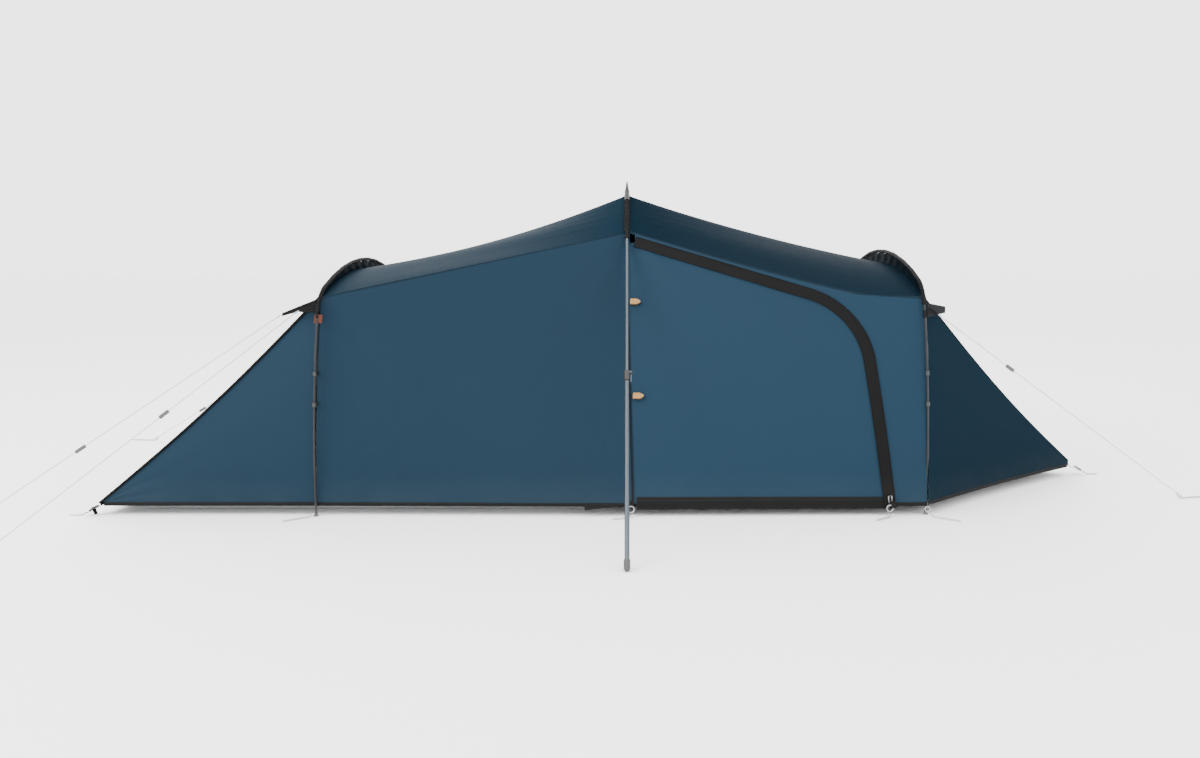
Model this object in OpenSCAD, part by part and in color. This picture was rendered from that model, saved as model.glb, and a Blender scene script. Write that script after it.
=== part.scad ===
// Three-pole touring tent: a tall A-frame of two telescopic legs outside the fly, a low hoop
// at each end, a wide left tail pegged at two corners and a pointed right tail on one peg.
// Origin: on the ground at the middle of the A-frame. +X runs along the ridge to the pointed
// tail, -Y is the door side, +Z is up. Millimetres.

/* [Fly] */
// Height of the fly at the apex
apex_z = 1300; // [1280:5:1330]
// Distance from the A-frame to the left hoop
hoop_left_x = 1220; // [1180:10:1260]
// Distance from the A-frame to the right hoop
hoop_right_x = 1180; // [1150:10:1220]
// Distance from the A-frame to the ends of the fly
tail_x = 2070; // [2040:10:2120]
// Half width of the fly at the hem of the hoops and the wide tail
hem_half = 650; // [640:1:655]
// Height of the lower edge of the fly above the ground
hem_z = 50; // [40:1:60]
// Thickness of a fabric panel's solid
panel_t = 3; // [2:0.5:4]

/* [Hoops] */
// Diameter of a hoop pole
hoop_d = 9.5; // [8.5:0.5:11]
// Height of the left hoop's centreline
hoop_left_top = 1002; // [995:1:1010]
// Height of the right hoop's centreline
hoop_right_top = 1040; // [1035:1:1050]

/* [A-frame] */
// Distance from the ridge line to each foot
foot_y = 1270; // [1200:10:1320]
// Diameter of the upper, sliding tube
upper_d = 13; // [12:0.5:14]
// Diameter of the lower, outer tube
lower_d = 17; // [16:0.5:18]
// Share of the leg above the lock
lock_at = 0.576; // [0.55:0.01:0.6]
// Radius of the rubber foot
foot_r = 11; // [10:0.5:13]

/* [Door] */
// Width of the black storm flap over the zip
flap_w = 46; // [40:1:50]
// Radius of the zip's bend
zip_bend_r = 310; // [290:5:320]

/* [Guys] */
// Diameter of a guy line
guy_d = 3; // [2.5:0.5:3.5]
// Length of a peg's shank
peg_l = 130; // [110:5:160]
// Length of a line tensioner
slider_l = 38; // [34:1:42]

/* [Inner tent] */
// Gap between the fly and the inner tent
inner_gap = 70; // [60:5:80]
// Height of the groundsheet's side walls
tub_h = 110; // [90:5:120]

/* [Hidden] */
eps = 0.01;
seam_gap = 4;
fabric_blue = "#3b6280";
roof_blue = "#2c4a5e";
trim_black = "#141416";
seg = 48;
pole_seg = 16;

GUYS = [1, 2, 3, 4, 5, 6];

// ---- small helpers -------------------------------------------------------------------
function lerp(a, b, t) = a + (b - a) * t;
function steps(n) = [for (i = [0:n]) i / n];
function unit(v) = v / norm(v);
function bulge(t) = sin(180 * t);

// A panel: the outer points, and the same points moved inward by n, closed round the edge.
module panel(grid, n) {
    rows = len(grid);
    cols = len(grid[0]);
    flat = [for (row = grid) for (p = row) p];
    base = rows * cols;
    turned = cross(grid[1][0] - grid[0][0], grid[0][1] - grid[0][0]) * n > 0;
    quads = [for (i = [0:rows - 2]) for (j = [0:cols - 2])
        [i * cols + j, i * cols + j + 1, (i + 1) * cols + j + 1, (i + 1) * cols + j]];
    outer = [for (q = quads) each [[q[0], q[1], q[2]], [q[0], q[2], q[3]]]];
    inner = [for (f = outer) [f[2] + base, f[1] + base, f[0] + base]];
    rim = concat(
        [for (j = [0:cols - 2]) [j + 1, j]],
        [for (i = [0:rows - 2]) [i * cols, (i + 1) * cols]],
        [for (j = [0:cols - 2]) [(rows - 1) * cols + j, (rows - 1) * cols + j + 1]],
        [for (i = [0:rows - 2]) [(i + 2) * cols - 1, (i + 1) * cols - 1]]);
    edge = [for (e = rim) each [[e[0], e[1], e[1] + base], [e[0], e[1] + base, e[0] + base]]];
    all = concat(outer, inner, edge);
    faces = turned ? all : [for (f = all) [f[2], f[1], f[0]]];
    polyhedron(concat(flat, [for (p = flat) p + n]), faces, convexity = 6);
}

// A round tube swept through points, with `sides` sides, its first side vector horizontal.
module cord(path, d, sides = 8) {
    last = len(path) - 1;
    rings = [for (i = [0:last])
        let (a = path[max(i - 1, 0)], b = path[min(i + 1, last)],
             t = unit(b - a), u = unit(cross(t, [0, 0, 1])), w = cross(u, t))
        [for (k = [0:sides - 1])
            path[i] + d / 2 * (cos(360 * k / sides) * u + sin(360 * k / sides) * w)]];
    skin = [for (i = [0:last - 1]) for (k = [0:sides - 1])
        let (a = i * sides + k, b = i * sides + (k + 1) % sides)
        each [[a, b, b + sides], [a, b + sides, a + sides]]];
    caps = [[for (k = [sides - 1:-1:0]) k], [for (k = [0:sides - 1]) last * sides + k]];
    polyhedron([for (r = rings) for (p = r) p],
               concat(skin, caps), convexity = 4);
}

// ---- the fly's surface ---------------------------------------------------------------
// x is signed: left of the A-frame is negative. side is -1 at the front, +1 at the back.
function hoop_x(x) = x < 0 ? hoop_left_x : hoop_right_x;
function share(x) = min(1, abs(x) / hoop_x(x));
function ridge_z(x) = x < 0
    ? apex_z - 0.406 * abs(x) + 0.000105 * x * x
    : apex_z - 0.347 * x + 0.000068 * x * x;
function seam_y(x) = 180 + 420 * share(x);
function seam_z(x) = x < 0
    ? apex_z - 180 - 0.216 * abs(x)
    : apex_z - 443 + 273 * pow(max(0, 1 - x / 1000), 1.15);
function hem_y(x) = hem_half + 15 * (1 - share(x));
function roof_z(x, y) = lerp(ridge_z(x), seam_z(x), pow(abs(y) / seam_y(x), 1 + share(x)));
function wall_y(x, z) =
    let (v = (seam_z(x) - z) / (seam_z(x) - hem_z))
    lerp(seam_y(x), hem_y(x), v) + 25 * share(x) * bulge(min(1, max(0, v)));
function roof_point(x, w, side) = [x, side * w * seam_y(x), roof_z(x, w * seam_y(x))];
function wall_point(x, v, side) =
    let (z = lerp(seam_z(x), hem_z, v)) [x, side * wall_y(x, z), z];
// The seam under the A-frame, which is the door's hinge line
hinge_top = [6, -(180 + 485 * 30 / 1084), apex_z - 210];
hinge_foot = [34, -wall_y(34, hem_z), hem_z];
function hinge_x(z) = lerp(hinge_foot.x, hinge_top.x, (z - hem_z) / (hinge_top.z - hem_z));

roof_in = 0.9 * panel_t;
// Cloth stops short of the A-frame's sleeves near the apex, and of the hoops' ferrules
apex_gap = 10;
hoop_gap = 7;
module roof_half(from_x, to_x, side) {
    panel([for (t = steps(14)) [for (w = steps(5))
        roof_point(lerp(from_x, to_x, t), lerp(0.02, 0.985, w), side)]],
        [0, -side * 0.4 * panel_t, -roof_in]);
}
module wall(from_x, side, edge_x = undef) {
    panel([for (t = steps(12)) [for (v = steps(8))
        let (z = lerp(seam_z(0), hem_z, v),
             end = !is_undef(edge_x) ? edge_x : v == 0 ? -apex_gap : hinge_x(z) - seam_gap,
             x = lerp(from_x, end, t))
        wall_point(x, lerp(0.006, 1, v), side)]],
        [0, -side * panel_t, -0.2 * panel_t]);
}
module fly_roof_left() {
    color(roof_blue) for (side = [-1, 1])
        roof_half(-hoop_left_x + hoop_gap, -seam_gap, side);
}
module fly_roof_right() {
    color(roof_blue) for (side = [-1, 1])
        roof_half(apex_gap, hoop_right_x - hoop_gap, side);
}
module fly_wall_left_front() {
    color(fabric_blue) wall(-hoop_left_x + hoop_gap, -1);
}
module fly_wall_left_back() {
    color(fabric_blue) wall(-hoop_left_x + hoop_gap, 1, -seam_gap);
}
module fly_wall_right_back() {
    color(fabric_blue) wall(hoop_right_x - hoop_gap, 1, apex_gap);
}

// ---- door and zip --------------------------------------------------------------------
// The zip runs down below the roof seam, bends, and drops to the hem. In the x-z plane it
// is a straight line, an arc and a second straight line.
zip_start = [34, apex_z - 218];
zip_end = [1032, hem_z];
zip_fall = 16.9;
zip_drop = 83.7;
zip_in = [cos(zip_fall), -sin(zip_fall)];
zip_out = [cos(zip_drop), -sin(zip_drop)];
zip_corner = let (d = zip_end - zip_start,
                  k = zip_in.x * zip_out.y - zip_in.y * zip_out.x)
    zip_start + zip_in * ((d.x * zip_out.y - d.y * zip_out.x) / k);
zip_tangent = zip_bend_r * tan((zip_drop - zip_fall) / 2);
zip_centre = zip_corner - zip_in * zip_tangent + zip_bend_r * [-sin(zip_fall), -cos(zip_fall)];
// A point of the zip line moved sideways, outward for a positive shift, at heading a
function bend_point(a, shift) = zip_centre + (zip_bend_r + shift) * [sin(a), cos(a)];
function zip_path(shift, straight_n = 6, bend_n = 10) = concat(
    [for (t = steps(straight_n))
        lerp(zip_start, zip_corner - zip_in * zip_tangent, t)
        + shift * [sin(zip_fall), cos(zip_fall)]],
    [for (t = steps(bend_n)) if (t > 0) bend_point(lerp(zip_fall, zip_drop, t), shift)],
    [for (t = steps(straight_n)) if (t > 0)
        lerp(zip_corner + zip_out * zip_tangent, zip_end, t)
        + shift * [sin(zip_drop), cos(zip_drop)]]);
function on_wall(p, proud = 0) = [p.x, -wall_y(p.x, p.y) - proud, p.y];

zip_half = 6;
// Each point of the zip line has a partner on the roof seam or, below it, on the hoop's edge
module fly_wall_right_front() {
    edge_x = hoop_right_x - hoop_gap;
    edge_z = seam_z(edge_x) - 4;
    turn_z = edge_z - 56;
    function partner(p) = let (x = min(p.x + 0.25 * max(0, p.x - 500), edge_x))
        p.y > turn_z ? [x, seam_z(x) - 4]
                     : [edge_x, lerp(hem_z, edge_z, (p.y - hem_z) / (turn_z - hem_z))];
    color(fabric_blue) panel([for (p = zip_path(zip_half))
        [for (t = steps(3)) on_wall(lerp(p, partner(p), t))]],
        [0, panel_t, -0.2 * panel_t]);
}
door_out = [0, panel_t, -0.2 * panel_t];
module door_panel() {
    outer_edge = zip_path(-zip_half);
    color(fabric_blue) panel([for (p = outer_edge)
        let (left = hinge_x(p.y) + seam_gap)
        [for (t = steps(6)) on_wall([lerp(left, p.x, t), p.y])]],
        door_out);
}
module door_storm_flap() {
    near = zip_path(-flap_w / 2);
    far = zip_path(flap_w / 2);
    last = len(near) - 1;
    color(trim_black) panel([for (i = [0:last]) [for (t = steps(2))
        on_wall(lerp(near[i], far[i], t), 4.5)]],
        [0, 2, 0]);
}
door_hem_h = 22;
module door_hem() {
    z_top = hem_z - 1.5;
    color(trim_black) panel([for (t = steps(8))
        let (x = lerp(hinge_foot.x + seam_gap, zip_end.x - zip_half, t))
        [[x, -wall_y(x, hem_z), z_top], [x, -wall_y(x, hem_z) - 2, z_top - door_hem_h]]],
        [0, panel_t, 0]);
}
// The row of teeth on the fly's side of the zip
module zip_row() {
    near = zip_path(1);
    far = zip_path(zip_half - 1);
    last = len(near) - 1;
    color(trim_black) panel([for (i = [0:last])
        [on_wall(near[i], 1.5), on_wall(far[i], 1.5)]], [0, 4, 0]);
}
// The slider runs outside the flap, up the straight lower part of the zip
slider_z = 58;
slider_end_z = 358;
slider_proud = 13;
slider_low = on_wall([zip_end.x - (slider_z - hem_z) / tan(zip_drop), slider_z], slider_proud);
slider_high = on_wall([zip_end.x - (slider_end_z - hem_z) / tan(zip_drop), slider_end_z],
    slider_proud);
slider_axis = unit(slider_high - slider_low);
module at_slider() {
    translate(slider_low) rotate([0, -(90 - zip_drop), 0]) children();
}
pull_pin = [0, -6.5, 20];
pull_pin_r = 1.5;
module zip_slider() {
    color("silver") at_slider() {
        translate([-7, -3, -2]) cube([14, 6, 26]);
        for (x = [-7, 5]) translate([x, -9, 16]) cube([2, 7, 8]);
        translate(pull_pin) rotate([0, 90, 0])
            cylinder(h = 13, r = pull_pin_r, center = true, $fn = 24);
    }
}
module zip_pull() {
    color(trim_black) at_slider() translate(pull_pin) difference() {
        union() {
            rotate([0, 90, 0]) cylinder(h = 9, r = 3, center = true, $fn = 24);
            translate([-4.5, -1.5, -44]) cube([9, 3, 44]);
        }
        rotate([0, 90, 0]) cylinder(h = 12, r = pull_pin_r + 0.06, center = true, $fn = 24);
    }
}

// ---- tails ---------------------------------------------------------------------------
end_x = -tail_x;
function end_point(u, v) =
    let (top = roof_point(-hoop_left_x - seam_gap, abs(u), sign(u) == 0 ? 1 : sign(u)),
         foot = [end_x, hem_half * u, hem_z])
    lerp(top, foot, v) + [12, 0, -18] * bulge(v);
module fly_end_left() {
    color(roof_blue) panel([for (v = steps(8)) [for (u = steps(10))
        end_point(lerp(-0.985, 0.985, u), lerp(0.005, 0.995, v))]],
        [0.5 * panel_t, 0, -0.8 * panel_t]);
}
// Triangular side of the wide tail, from the hoop leg to the corner
module tail_side(side) {
    panel([for (v = steps(8)) [for (t = steps(6))
        let (z_low = hem_z,
             v_end = lerp(0.015, 0.975, v),
             top = end_point(side, v_end) - [0, 0, 6],
             foot = [top.x, side * lerp(wall_y(-hoop_left_x, hem_z), hem_half, v_end), z_low],
             p = lerp(top, foot, t),
             swell = 25 * (1 - v_end) * bulge(t))
        [p.x, p.y + side * swell, p.z]]],
        [0, -side * panel_t, 0]);
}
module fly_tail_left_front() {
    color(fabric_blue) tail_side(-1);
}
module fly_tail_left_back() {
    color(fabric_blue) tail_side(1);
}
// Pointed tail: rays run from the hoop's outline to the tip
tip = [tail_x, 0, hem_z - 1];
tip_start_x = hoop_right_x + hoop_gap;
function hoop_outline(u, side) = u < 0.45
    ? roof_point(tip_start_x, u / 0.45, side)
    : wall_point(tip_start_x, (u - 0.45) / 0.55, side);
function tail_point(u, v, side) =
    let (p = lerp(hoop_outline(u, side), tip, v), sag = bulge(v))
    p + [0, -side * 20 * sag * u, -55 * sag * (1 - u)];
function tail_grid(from_u, to_u, side) =
    [for (v = steps(9)) [for (u = steps(6))
        tail_point(lerp(from_u, to_u, u), lerp(0.003, 0.965, v), side) + [0, side * 3.5, 0]]];
module tail_half(side) {
    panel(tail_grid(0, 0.44, side), [-0.6 * panel_t, -side * 0.2 * panel_t, -0.7 * panel_t]);
    panel(tail_grid(0.455, 1, side), [-0.7 * panel_t, -side * 0.8 * panel_t, 0]);
}
module fly_tail_right_front() {
    color(roof_blue) tail_half(-1);
}
module fly_tail_right_back() {
    color(roof_blue) tail_half(1);
}

// ---- hoops ---------------------------------------------------------------------------
// A hoop is three tangent arcs on each side of the middle: [radius, heading at the end].
// The last arc's heading brings the pole down to pole_end_z.
pole_end_z = 12;
crown_r = [1500, 1350];
crown_a = [22, 23.5];
shoulder_r = [130, 140];
shoulder_a = 80;
leg_r = 2560;
function arc_centre(p, a, r) = p + r * [-sin(a), -cos(a)];
function arc_end(c, a, r) = c + r * [sin(a), cos(a)];
function hoop_top(k) = k == 0 ? hoop_left_top : hoop_right_top;
function crown_centre(k) = arc_centre([0, hoop_top(k)], 0, crown_r[k]);
function crown_end(k) = arc_end(crown_centre(k), crown_a[k], crown_r[k]);
function shoulder_centre(k) = arc_centre(crown_end(k), crown_a[k], shoulder_r[k]);
function shoulder_end(k) = arc_end(shoulder_centre(k), shoulder_a, shoulder_r[k]);
function leg_centre(k) = arc_centre(shoulder_end(k), shoulder_a, leg_r);
function leg_end_a(k) = acos((pole_end_z - leg_centre(k).y) / leg_r);
function leg_a(k, z) = acos((z - leg_centre(k).y) / leg_r);
function hoop_place(k) = k == 0 ? -hoop_left_x : hoop_right_x;

// Sweeps the 2D child along an arc in the y-z plane, from heading a to heading b
module arc(k, c, r, a, b) {
    translate([hoop_place(k), c.x, c.y]) rotate([0, 0, 90]) rotate([90, 0, 0])
        rotate([0, 0, 90 - b]) rotate_extrude(angle = b - a, $fn = 360) translate([r, 0]) children();
}
// The 2D child swept along a hoop: a crown, two shoulders down to heading `low`, and two legs.
// The sections butt together with a hair's gap.
butt = 0.01;
module hoop_crown(k) {
    arc(k, crown_centre(k), crown_r[k], -crown_a[k] + butt, crown_a[k] - butt) children();
}
module hoop_shoulders(k, low) {
    for (side = [0, 1]) mirror([0, side, 0])
        arc(k, shoulder_centre(k), shoulder_r[k], crown_a[k] + 6 * butt, low) children();
}
module hoop_legs(k) {
    for (side = [0, 1]) mirror([0, side, 0])
        arc(k, leg_centre(k), leg_r, shoulder_a + butt, leg_end_a(k)) children();
}
module hoop_pole(k) {
    color("#2a2b2e") {
        hoop_crown(k) circle(d = hoop_d, $fn = pole_seg);
        hoop_shoulders(k, shoulder_a) circle(d = hoop_d, $fn = pole_seg);
        hoop_legs(k) circle(d = hoop_d, $fn = pole_seg);
    }
}
module ring(r_in, r_out) {
    difference() {
        circle(r = r_out, $fn = pole_seg);
        circle(r = r_in, $fn = pole_seg);
    }
}
sleeve_r = 8;
module hoop_sleeves() {
    color(trim_black) for (k = [0, 1]) {
        hoop_crown(k) ring(hoop_d / 2 + 0.1, sleeve_r);
        hoop_shoulders(k, shoulder_a - 8) ring(hoop_d / 2 + 0.1, sleeve_r);
    }
}
// The flat web that joins a sleeve to the roof
web_t = 2;
web_low = 48;
function web_outer(k) = concat(
    [for (a = [0.1:2:crown_a[k]]) arc_end(crown_centre(k), a, crown_r[k] - sleeve_r - 0.4)],
    [for (a = [crown_a[k] + 4:8:web_low])
        arc_end(shoulder_centre(k), a, shoulder_r[k] - sleeve_r - 0.4)]);
function web_inner(k) = [for (w = [0.94:-0.1171:0])
    let (p = roof_point(hoop_place(k), w, 1)) [max(p.y, 2), p.z + 3]];
module hoop_web() {
    color("#10161c") for (k = [0, 1]) for (side = [0, 1])
        mirror([0, side, 0]) translate([hoop_place(k) - web_t / 2, 0, 0])
            rotate([90, 0, 90]) linear_extrude(web_t)
                polygon(concat(web_outer(k), web_inner(k)));
}
ferrule_z = [230, 640];
module hoop_ferrules() {
    color("silver") for (k = [0, 1]) for (side = [0, 1]) for (z = ferrule_z)
        mirror([0, side, 0])
            arc(k, leg_centre(k), leg_r, leg_a(k, z + 32), leg_a(k, z - 32))
                ring(hoop_d / 2 + 0.05, hoop_d / 2 + 0.9);
}
clip_z = [440, 560];
module hoop_clips() {
    color(trim_black) for (k = [0, 1]) for (side = [0, 1]) for (z = clip_z)
        let (a = leg_a(k, z), y = arc_end(leg_centre(k), a, leg_r).x, wall = wall_y(hoop_place(k), z))
        mirror([0, side, 0]) translate([hoop_place(k), y, z]) {
            difference() {
                cylinder(h = 16, r = hoop_d / 2 + 3.2, center = true, $fn = seg);
                cylinder(h = 20, r = hoop_d / 2 + 1.2, center = true, $fn = seg);
            }
            translate([-3.5, wall - y + 1.2, -8]) cube([7, y - wall - hoop_d / 2 - 2, 16]);
        }
}
module hoop_feet() {
    color(trim_black) for (k = [0, 1]) for (side = [-1, 1])
        let (p = arc_end(leg_centre(k), leg_end_a(k), leg_r))
        translate([hoop_place(k), side * p.x, 0])
            cylinder(h = p.y - 1.2, r1 = 9, r2 = hoop_d / 2 + 1, $fn = seg);
}

// ---- A-frame -------------------------------------------------------------------------
leg_apex_z = apex_z + 18;
leg_l = norm([foot_y, leg_apex_z - foot_r]);
leg_tilt = atan(foot_y / (leg_apex_z - foot_r));
lock_d = lock_at * leg_l;
overlap = 110;
// Local -Z runs down the leg from the point where the two legs' axes meet
module on_leg(side) {
    translate([0, 0, leg_apex_z]) rotate([side * leg_tilt, 0, 0]) children();
}
module down(from, to, r) {
    translate([0, 0, -to]) cylinder(h = to - from, r = r, $fn = seg);
}
hub_r = 11;
hub_l = 64;
tube_start = 22;
module apex_hub() {
    color(trim_black) difference() {
        union() {
            for (side = [-1, 1]) on_leg(side) down(0, hub_l, hub_r);
            translate([0, 0, leg_apex_z]) sphere(r = hub_r, $fn = seg);
        }
        for (side = [-1, 1]) on_leg(side) down(tube_start, hub_l + 1, upper_d / 2 + 0.02);
    }
}
cap_h = 36;
module apex_cap() {
    color(trim_black) translate([0, 0, leg_apex_z + hub_r - 2]) difference() {
        cylinder(h = cap_h, r1 = 8, r2 = 2.5, $fn = seg);
        translate([0, 0, 2 - hub_r]) sphere(r = hub_r, $fn = seg);
    }
}
module leg_upper(side) {
    color("#b9bec4") on_leg(side) difference() {
        down(tube_start, lock_d + overlap, upper_d / 2);
        down(tube_start + 20, lock_d + overlap + 1, upper_d / 2 - 1.2);
    }
}
leg_sleeve_end = 310;
module leg_sleeves() {
    color(trim_black) for (side = [-1, 1]) on_leg(side) difference() {
        down(hub_l + 1, leg_sleeve_end, upper_d / 2 + 1.3);
        down(hub_l, leg_sleeve_end + 1, upper_d / 2 + 0.1);
    }
}
module leg_lower(side) {
    color("#b9bec4") on_leg(side) difference() {
        down(lock_d, leg_l - 6, lower_d / 2);
        down(lock_d - 1, leg_l - 12, upper_d / 2 + 0.05);
    }
}
foot_h = 28;
module leg_foot(side) {
    color("#3a3a3c") on_leg(side) translate([0, 0, -leg_l]) difference() {
        rotate_extrude($fn = seg) intersection() {
            union() {
                circle(r = foot_r, $fn = seg);
                translate([0, 0]) square([foot_r, foot_h]);
            }
            translate([0, -foot_r]) square([foot_r, foot_h + foot_r]);
        }
        translate([0, 0, 6]) cylinder(h = foot_h, r = lower_d / 2, $fn = seg);
    }
}
collar_r = 12;
lever_pin_x = 16;
lever_pin_d = lock_d - 6;
module lock_collar(side) {
    color(trim_black) on_leg(side) difference() {
        union() {
            down(lock_d - 14, lock_d + 30, collar_r);
            for (y = [-9.5, 6.5]) translate([6, y, -lever_pin_d - 6]) cube([14, 3, 12]);
        }
        down(lock_d - 15, lock_d, upper_d / 2 + 0.1);
        down(lock_d - eps, lock_d + 31, lower_d / 2);
        translate([lever_pin_x, 0, -lever_pin_d]) rotate([90, 0, 0])
            cylinder(h = 30, r = 2.05, center = true, $fn = seg);
    }
}
module lock_lever(side) {
    color("silver") on_leg(side) translate([lever_pin_x, 0, -lever_pin_d]) {
        rotate([90, 0, 0]) cylinder(h = 19, r = 2, center = true, $fn = seg);
        rotate([90, 0, 0]) cylinder(h = 12, r = 3.4, center = true, $fn = seg);
        translate([-2.5, -6, -40]) cube([4, 12, 39]);
    }
}

// ---- trim ----------------------------------------------------------------------------
binding_h = 12;
module strip(line, side_in, h = binding_h, t = panel_t) {
    panel([for (p = line) [p, p - [0, 0, h]]], side_in * t);
}
function hem_line(from_x, to_x, side) = [for (t = steps(10))
    let (x = lerp(from_x, to_x, t)) [x, side * wall_y(x, hem_z), hem_z - 1]];
module hem_binding() {
    color(trim_black) {
        strip(hem_line(-hoop_left_x, hinge_foot.x - seam_gap, -1), [0, 1, 0]);
        strip(hem_line(-hoop_left_x, hoop_right_x, 1), [0, -1, 0]);
        strip(hem_line(zip_end.x + zip_half, hoop_right_x, -1), [0, 1, 0]);
        for (side = [-1, 1]) {
            strip([for (t = steps(4)) [lerp(-hoop_left_x - 2, end_x + 6, t),
                   side * hem_half, hem_z - 1]], [0, -side, 0]);
            strip([for (t = steps(6)) let (p = tail_point(1, lerp(0.003, 0.93, t), side))
                   [p.x, p.y + side * 3.5, hem_z - 1]], [-0.6, -side * 0.7, 0]);
        }
        strip([for (y = [-1:0.5:1]) [end_x, (hem_half - 6) * y, hem_z - 1]], [1, 0, 0]);
    }
}
// Straps from the three corners to their pegs, guy tabs at the hoops' shoulders, and the
// loose flap at the hem beside the A-frame
strap_end = tail_x + 66;
module strap(a, b, w) {
    d = unit([b.x - a.x, b.y - a.y, 0]);
    n = [-d.y, d.x, 0] * w / 2;
    panel([[a - n, a + n], [b - n, b + n]], [0, 0, -2]);
}
module tab(a, top_z, low_z, tip_point) {
    panel([[[a.x, a.y, top_z], [a.x, a.y, low_z]],
           [tip_point + [0, 0, 6], tip_point - [0, 0, 6]]], [0, a.y < 0 ? 2 : -2, 0]);
}
module webbing_straps() {
    color(trim_black) {
        for (side = [-1, 1])
            strap([end_x - 4, side * hem_half, hem_z - 10],
                  [-strap_end + 16, side * hem_half, 10], 20);
        strap([tail_x + 4, 0, hem_z - 10], [strap_end - 16, 0, 12], 26);
        panel([for (e = [[-166, 22, 8], [-20, 10, 4]])
                  [[e[0], -wall_y(0, hem_z) - 4, hem_z - 1],
                   [e[0], -wall_y(0, hem_z) - e[2], hem_z - e[1]]]], [0, 2, 0]);
        for (i = GUYS)
            let (tip_point = GUY_ROUTE[i - 1][0], out = sign(tip_point.x),
                 far = abs(tip_point.x) > 1300, low = far ? [634, 862, 806] : [640, 826, 790])
            tab([hoop_place(out < 0 ? 0 : 1) + out * 12, sign(tip_point.y) * low[0]],
                low[1], low[2], tip_point - [out * 3, 0, 0]);
    }
}
module ladder_buckle() {
    difference() {
        translate([-13, -15, -3]) cube([26, 30, 6]);
        for (x = [-7, 3]) translate([x, -11, -4]) cube([4, 22, 8]);
    }
}
module strap_buckles() {
    color(trim_black) {
        for (side = [-1, 1]) translate([end_x - 27, side * hem_half, hem_z - 20.5])
            rotate([0, -33.1, 0]) ladder_buckle();
        translate([tail_x + 27, 0, hem_z - 19.5]) rotate([0, 31.4, 0]) ladder_buckle();
    }
}
// A peg lies on the ground: a round shank with a point, bent up at the head into a hook
peg_r = 3;
peg_hook_l = 20;
module peg(l = peg_l) {
    translate([0, 0, peg_r]) {
        rotate([0, 90, 0]) cylinder(h = l, r = peg_r, $fn = 24);
        sphere(r = peg_r, $fn = 24);
        rotate([0, -60, 0]) cylinder(h = peg_hook_l, r = peg_r, $fn = 24);
        translate([l, 0, 0]) rotate([0, 90, 0]) cylinder(h = 12, r1 = peg_r, r2 = 0.6, $fn = 24);
    }
}
// [x, y, direction of the shank, its length] of each hem peg
HEM_PEGS = [
    [-strap_end - 6, -hem_half, 180, 40], [-strap_end - 6, hem_half, 180, 40],
    [strap_end + 6, 0, 0, 40],
    [-hoop_left_x - 20, -hem_half - 29, 215, 90], [-hoop_left_x - 20, hem_half + 29, 145, 90],
    [hoop_right_x + 20, -hem_half - 29, 325, 90], [hoop_right_x + 20, hem_half + 29, 35, 90],
    [8, -hem_half - 40, 200, 60], [0, hem_half + 40, 90, 60],
    [zip_end.x - 6, -hem_half - 30, 215, 70]];
module ground_pegs() {
    color("silver") for (p = HEM_PEGS)
        translate([p[0], p[1], 0]) rotate([0, 0, p[2]]) peg(p[3]);
}
// Two amber toggles on the door's hinge edge, with the axis of the hinge line
TOGGLE_Z = [823, 447];
hinge_axis = unit(hinge_top - hinge_foot);
function toggle_pin(i) =
    lerp(hinge_foot, hinge_top, (TOGGLE_Z[i] - hem_z) / (hinge_top.z - hem_z)) + [0, -20, 0];
toggle_t = 11;
// A flat barrel with a blunt tip and a groove, lying along the door, on a short stem
module door_toggle(i) {
    lean = atan((wall_y(60, TOGGLE_Z[i]) - wall_y(10, TOGGLE_Z[i])) / 50);
    color("#c89a4e") translate(toggle_pin(i)) rotate([-24, 0, -lean]) {
        difference() {
            translate([0, toggle_t / 2, 0]) rotate([90, 0, 0]) linear_extrude(toggle_t)
                polygon([[1.5, -10], [3.5, -12], [30, -12], [34, -10], [45, -3],
                         [45, 3], [34, 10], [30, 12], [3.5, 12], [1.5, 10]]);
            for (y = [-1, 1]) translate([30, y * toggle_t / 2 - 1, -13]) cube([2.5, 2, 26]);
        }
        translate([-1, 0, 0]) rotate([0, 90, 0]) cylinder(h = 4, r = 1.5, $fn = seg);
    }
}

// ---- inner tent ----------------------------------------------------------------------
inner_foot_x = -1950;
inner_head_x = -66;
inner_half = 560;
cloth_t = 2;
function inner_seam_y(x) = seam_y(x) - 0.8 * inner_gap;
function inner_seam_z(x) = seam_z(x) - 0.9 * inner_gap;
function inner_ridge_z(x) = ridge_z(x) - 1.1 * inner_gap;
function inner_roof(x, w, side) = [x, side * w * inner_seam_y(x),
    lerp(inner_ridge_z(x), inner_seam_z(x), pow(w, 1 + share(x)))];
function inner_wall(x, v, side) = [x, side * lerp(inner_seam_y(x), inner_half, v),
    lerp(inner_seam_z(x), tub_h + 1, v)];
module inner_tub() {
    color("#22262a") difference() {
        translate([inner_foot_x, -inner_half - 3, 0])
            cube([inner_head_x - inner_foot_x, 2 * inner_half + 6, tub_h]);
        translate([inner_foot_x + 3, -inner_half, 3])
            cube([inner_head_x - inner_foot_x - 6, 2 * inner_half, tub_h]);
    }
}
inner_end_top = -hoop_left_x + 40;
function inner_end(u, v) = lerp(inner_roof(inner_end_top - 6, abs(u), sign(u) == 0 ? 1 : sign(u)),
    [inner_foot_x, (inner_half - 4) * u, tub_h + 1], v);
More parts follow.
